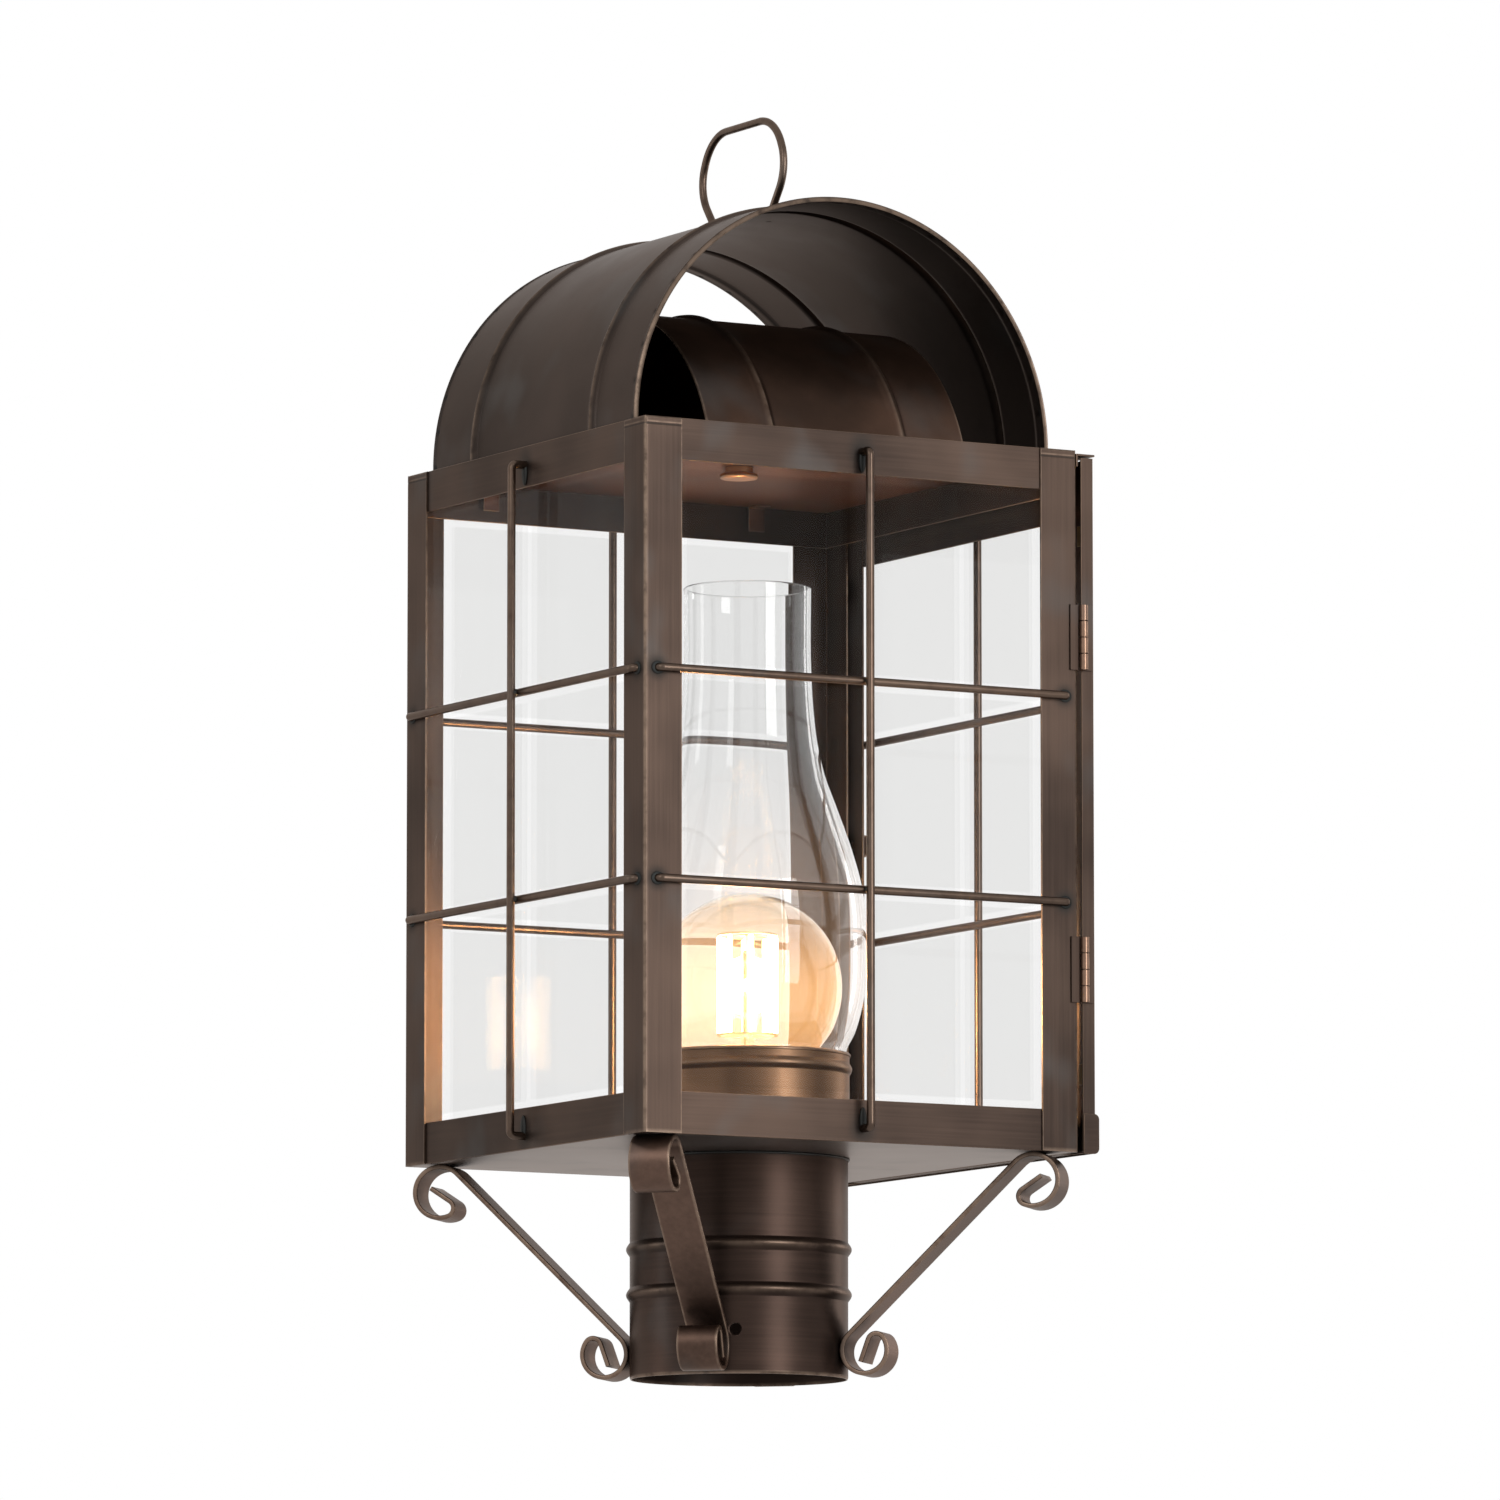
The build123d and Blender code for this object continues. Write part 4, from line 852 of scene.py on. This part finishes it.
def curved_glass(name, tint, glow, glow_colour, glow_z, glow_reach):
    """Glass that bends light, but lets the lamps' rays straight through. glow is the haze of a lit
    bulb: strongest at the height glow_z and gone at glow_reach above and below it."""
    finish = Finish(name)
    height = finish.add("ShaderNodeSeparateXYZ", {}, {0: finish.place}, out=2) / MM
    haze = finish.ramp(1 - abs(height - glow_z) / glow_reach, 0.0, 1.0)
    glass = finish.add("ShaderNodeBsdfPrincipled", {}, {
        "Base Color": paint(*tint), "Roughness": 0.0, "IOR": 1.45, "Transmission Weight": 1.0,
        "Emission Color": finish.mix(haze, (0, 0, 0, 1), paint(*glow_colour)), "Emission Strength": glow})
    clear = finish.add("ShaderNodeBsdfTransparent", {}, {"Color": paint(*tint)})
    lamp_ray = finish.add("ShaderNodeLightPath", out="Is Shadow Ray")
    return finish.show(finish.add("ShaderNodeMixShader", {}, {0: lamp_ray, 1: glass, 2: clear}))


def pane_glass(name, across, glance):
    """Flat glass: a mirror over a clear sheet, with a faint film except beside the frame and the guards.
    across is the axis along the pane: 0 for X, 1 for Y. glance is how strong the mirror gets."""
    finish = Finish(name)
    parts = finish.add("ShaderNodeSeparateXYZ", {}, {0: finish.place}, out=across)
    rise_z = Value(finish, parts.socket.node.outputs[2])
    x, z = abs(parts) / MM, rise_z / MM
    film = finish.ramp(79.0 - x, 2.6, 3.2) * finish.ramp(119.5 - abs(z - middle_z), 2.6, 3.2)
    film = film * finish.ramp(x, 3.4, 4.0)
    for line in bars:
        film = film * finish.ramp(abs(z - line), 2.9, 3.5)
    clear = finish.add("ShaderNodeBsdfTransparent", {}, {"Color": (0.995, 0.995, 0.995, 1)})
    grey = finish.add("ShaderNodeBsdfTransparent", {}, {"Color": (0.945, 0.945, 0.943, 1)})
    mirror = finish.add("ShaderNodeBsdfGlossy", {}, {"Color": (1, 1, 1, 1), "Roughness": 0.0})
    sheet = finish.add("ShaderNodeMixShader", {}, {0: film, 1: clear, 2: grey})
    facing = finish.add("ShaderNodeLayerWeight", {}, {"Blend": 0.5}, out="Facing")
    shine = 0.006 + glance * facing ** 5
    return finish.show(finish.add("ShaderNodeMixShader", {}, {0: shine, 1: sheet, 2: mirror}))


chimney_glass = curved_glass("glass_chimney", (252, 252, 252), 0.04, (255, 206, 165), 150.0, 95.0)
bulb_glass = curved_glass("glass_bulb", (255, 250, 240), 0.2, (255, 182, 100), 147.0, 46.0)
front_glass = pane_glass("glass_pane_front", 0, glance=0.5)
side_glass = pane_glass("glass_pane_side", 1, glance=0.2)
for node, body, finish in (("glass_front", "case", front_glass), ("glass_back", "case", front_glass),
                           ("glass_left", "case", side_glass), ("glass_door", "door", side_glass)):
    soften(node, body, finish, finish, 0.3)
print("clear finishes:", [m.name for m in bpy.data.materials if m.name.startswith("glass")])

# %% [markdown]
# The chimney swells out round the bulb and narrows to a straight throat. Its outline is a smooth
# curve through measured radii, found with a cubic that matches each slope, and the wall is offset
# inwards. The two rims are melted round.

# %% Chimney
shares = np.array([0, 0.046, 0.112, 0.217, 0.355, 0.437, 0.526, 0.598, 0.664, 0.746, 0.834, 1])
swells = np.array([0, 3.5, 6.7, 8.0, 6.3, 2.3, -3.4, -8.1, -10.8, -12.5, -13.3, -13.3])


def smooth_curve(x, y, at):
    """Cubic pieces through the points, with each slope a mean of those on either side:
    h00 y0 + h10 d m0 + h01 y1 + h11 d m1."""
    slope = np.gradient(y, x)
    slope[[0, -1]] = 0
    n = np.clip(np.searchsorted(x, at) - 1, 0, len(x) - 2)
    d = x[n + 1] - x[n]
    t = (at - x[n]) / d
    return ((2 * t**3 - 3 * t**2 + 1) * y[n] + (t**3 - 2 * t**2 + t) * d * slope[n]
            + (3 * t**2 - 2 * t**3) * y[n + 1] + (t**3 - t**2) * d * slope[n + 1])


(_, _, low), (_, _, high) = span("glass_chimney")
base_r, wall, rim_z = 38.1, 1.0, 126.0
z = np.linspace(low + 0.6, high - 0.6, 140)
radius = base_r + smooth_curve(shares, swells, np.clip((z - rim_z) / (high - rim_z), 0, 1))
top_rim = disc_arc((base_r + swells[-1] - wall / 2, high - 0.6), 0.6, 0, 180)
base_rim = disc_arc((base_r - wall / 2, low + 0.5), 0.5, 180, 360)
chimney_loop = np.vstack([np.stack([radius, z], -1), top_rim, np.stack([radius - wall, z], -1)[::-1],
                          base_rim, [[radius[0], z[0]]]])
spin("chimney", chimney_loop, chimney_glass, "chimney", "glass_chimney", axis_point=lamp, around=160,
     sharp=60)
print("chimney is widest at", round(float(radius.max() * 2), 1), "mm")

# %% [markdown]
# The bulb is a clear globe blown round a glass stem. Eight straight filaments stand in a ring between
# two stars of fine wire. Lit, a filament is the brightest thing in the picture, so its finish gives
# off light, and one small lamp inside casts that light on the brass around it.

# %% Bulb
globe_low, globe_high = span("bulb_globe")
outer, wall, neck = 36.6, 0.55, 12.4
globe_z = globe_high[2] - outer


def globe_side(radius, collar):
    """Half outline of a globe: the straight neck, then an arc from the neck's edge up to the pole."""
    join = np.arcsin(-np.sqrt(radius ** 2 - collar ** 2) / radius)
    arc = np.linspace(join, np.pi / 2, 90)
    ball = np.stack([radius * np.cos(arc), globe_z + radius * np.sin(arc)], -1)
    neck_z = np.linspace(globe_low[2], ball[0, 1], 8)[:-1]
    return np.vstack([np.stack([collar + 0 * neck_z, neck_z], -1), ball])


outside = globe_side(outer, neck)
inside = globe_side(outer - wall, neck - wall)[::-1]
globe_loop = np.vstack([outside, inside, outside[:1]])
globe_loop[np.abs(globe_loop[:, 0]) < 1e-6, 0] = 0
spin("globe", globe_loop, bulb_glass, "bulb", "bulb_globe", axis_point=lamp, sharp=80)

(_, _, low), (_, _, high) = span("bulb_stem")
flare = disc_arc((11.6, low + 10.7), 9.2, 268, 180, 12)
stem_loop = np.vstack([[[0, low], [11.2, low], [11.4, low + 0.6]], flare,
                       disc_arc((1.6, high - 1.0), 1.0, 0, 90, 5), [[0, high]]])
spin("stem", stem_loop, bulb_glass, "bulb", "bulb_stem", axis_point=lamp, around=48, sharp=60)

glow = Finish("filament_glow")
strength = glow.ramp(glow.noise((150, 150, 700), 1.0), 0.2, 0.8)
glow.show(glow.add("ShaderNodeBsdfPrincipled", {}, {
    "Base Color": paint(250, 214, 150), "Roughness": 0.5, "Emission Strength": 24.0,
    "Emission Color": glow.mix(strength, paint(255, 214, 150), paint(255, 232, 190))}))
(_, _, low), (_, _, high) = span("bulb_filaments")
rod = np.vstack([disc_arc((0, low + 1.0), 1.0, 270, 360, 4), disc_arc((0, high - 1.0), 1.0, 0, 90, 4)])
rod[[0, -1], 0] = 0
bearings = np.pi / 8 + np.arange(8) * np.pi / 4
stands = lamp + 11.0 * np.stack([np.cos(bearings), np.sin(bearings), 0 * bearings], -1)
piece("filaments", [(turned(rod, at, 14), True, False, 0.0, 0.0) for at in stands], glow.owner, "bulb",
      ["bulb_filaments"])
print("eight filaments,", round(float(high - low), 1), "mm long")

# %% [markdown]
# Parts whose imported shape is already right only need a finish: the socket, its shell and contacts,
# and the bulb's cap.

# %% Finishes for the parts kept as packed
kept = {"socket_body": porcelain, "socket_shell": raw_brass, "contact_disc": insulator,
        "centre_contact": raw_brass, "lamp_nipple": raw_brass, "bulb_cap": cap_brass,
        "bulb_collar": black_glass, "bulb_button": tin, "filament_wires": support_metal}
for node, finish in kept.items():
    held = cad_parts[node]
    held.data.materials.clear()
    held.data.materials.append(finish)
print("kept as packed:", ", ".join(kept))

# %% [markdown]
# The photograph is a cut-out on white, lit by large soft boxes. A pale floor lies well below, because
# the camera looks up past the lantern's foot. The world is white where it is seen directly, in a
# mirror or through glass, and dimmer where it only lights things.

# %% Floor, light and background


def soft_box(name, at, size, power):
    """A rectangular white lamp that faces the lantern's middle. Its place is in metres."""
    lamp_data = bpy.data.lights.new(name, "AREA")
    lamp_data.shape, lamp_data.size, lamp_data.size_y = "RECTANGLE", size[0], size[1]
    lamp_data.energy = power
    box = bpy.data.objects.new(name, lamp_data)
    scene.collection.objects.link(box)
    ahead = np.array([0, 0, 0.22]) - np.array(at)
    ahead /= np.linalg.norm(ahead)
    side = np.cross(ahead, [0, 0, 1.0])
    side /= np.linalg.norm(side)
    box.matrix_world = standing(side, np.cross(side, ahead), -ahead, at)
    box.visible_transmission = False


def direct_or_seen(finish):
    """1 for rays that show the background: from the camera, off a mirror or through glass."""
    names = ("Is Camera Ray", "Is Glossy Ray", "Is Transmission Ray")
    rays = [finish.add("ShaderNodeLightPath", out=name) for name in names]
    return finish.add("ShaderNodeClamp", {}, {"Value": rays[0] + rays[1] + rays[2]})


ground = bpy.data.meshes.new("floor")
ground.from_pydata([(x, y, -0.75) for x, y in ((-9, -9), (9, -9), (9, 9), (-9, 9))], [], [(0, 1, 2, 3)])
floor_finish = Finish("floor_paper")
grain = floor_finish.noise((30, 30, 30))
paper = floor_finish.add("ShaderNodeBsdfPrincipled", {}, {
    "Base Color": floor_finish.mix(grain, (0.93, 0.93, 0.93, 1), (0.96, 0.96, 0.96, 1)), "Roughness": 0.8})
white = floor_finish.add("ShaderNodeEmission", {}, {"Color": (1, 1, 1, 1), "Strength": 1.0})
floor_finish.show(floor_finish.add("ShaderNodeMixShader", {}, {
    0: 0.85 * direct_or_seen(floor_finish), 1: paper, 2: white}))
ground.materials.append(floor_finish.owner)
floor_object = bpy.data.objects.new("floor", ground)
scene.collection.objects.link(floor_object)

studio = Finish("studio", bpy.data.worlds)
backdrop = studio.add("ShaderNodeBackground", {}, {
    "Color": (1, 1, 1, 1), "Strength": 0.45 + 0.55 * direct_or_seen(studio)})
scene.world = studio.show(backdrop, "ShaderNodeOutputWorld")

soft_box("front", (0.55, -2.45, 0.55), (0.8, 1.6), 38)
soft_box("key", (-2.0, -1.4, 1.4), (0.8, 1.2), 12)
soft_box("strip_left", (-1.6, 0.9, 0.4), (0.25, 1.5), 4)
soft_box("strip_right", (2.1, 0.3, 0.6), (0.3, 1.5), 8)
ember = bpy.data.lights.new("lamp_light", "POINT")
ember.energy, ember.color, ember.shadow_soft_size = 2.6, (1.0, 0.68, 0.40), 0.012
ember_object = bpy.data.objects.new("lamp_light", ember)
ember_object.location = (lamp[0] * MM, 0, 0.1526)
scene.collection.objects.link(ember_object)
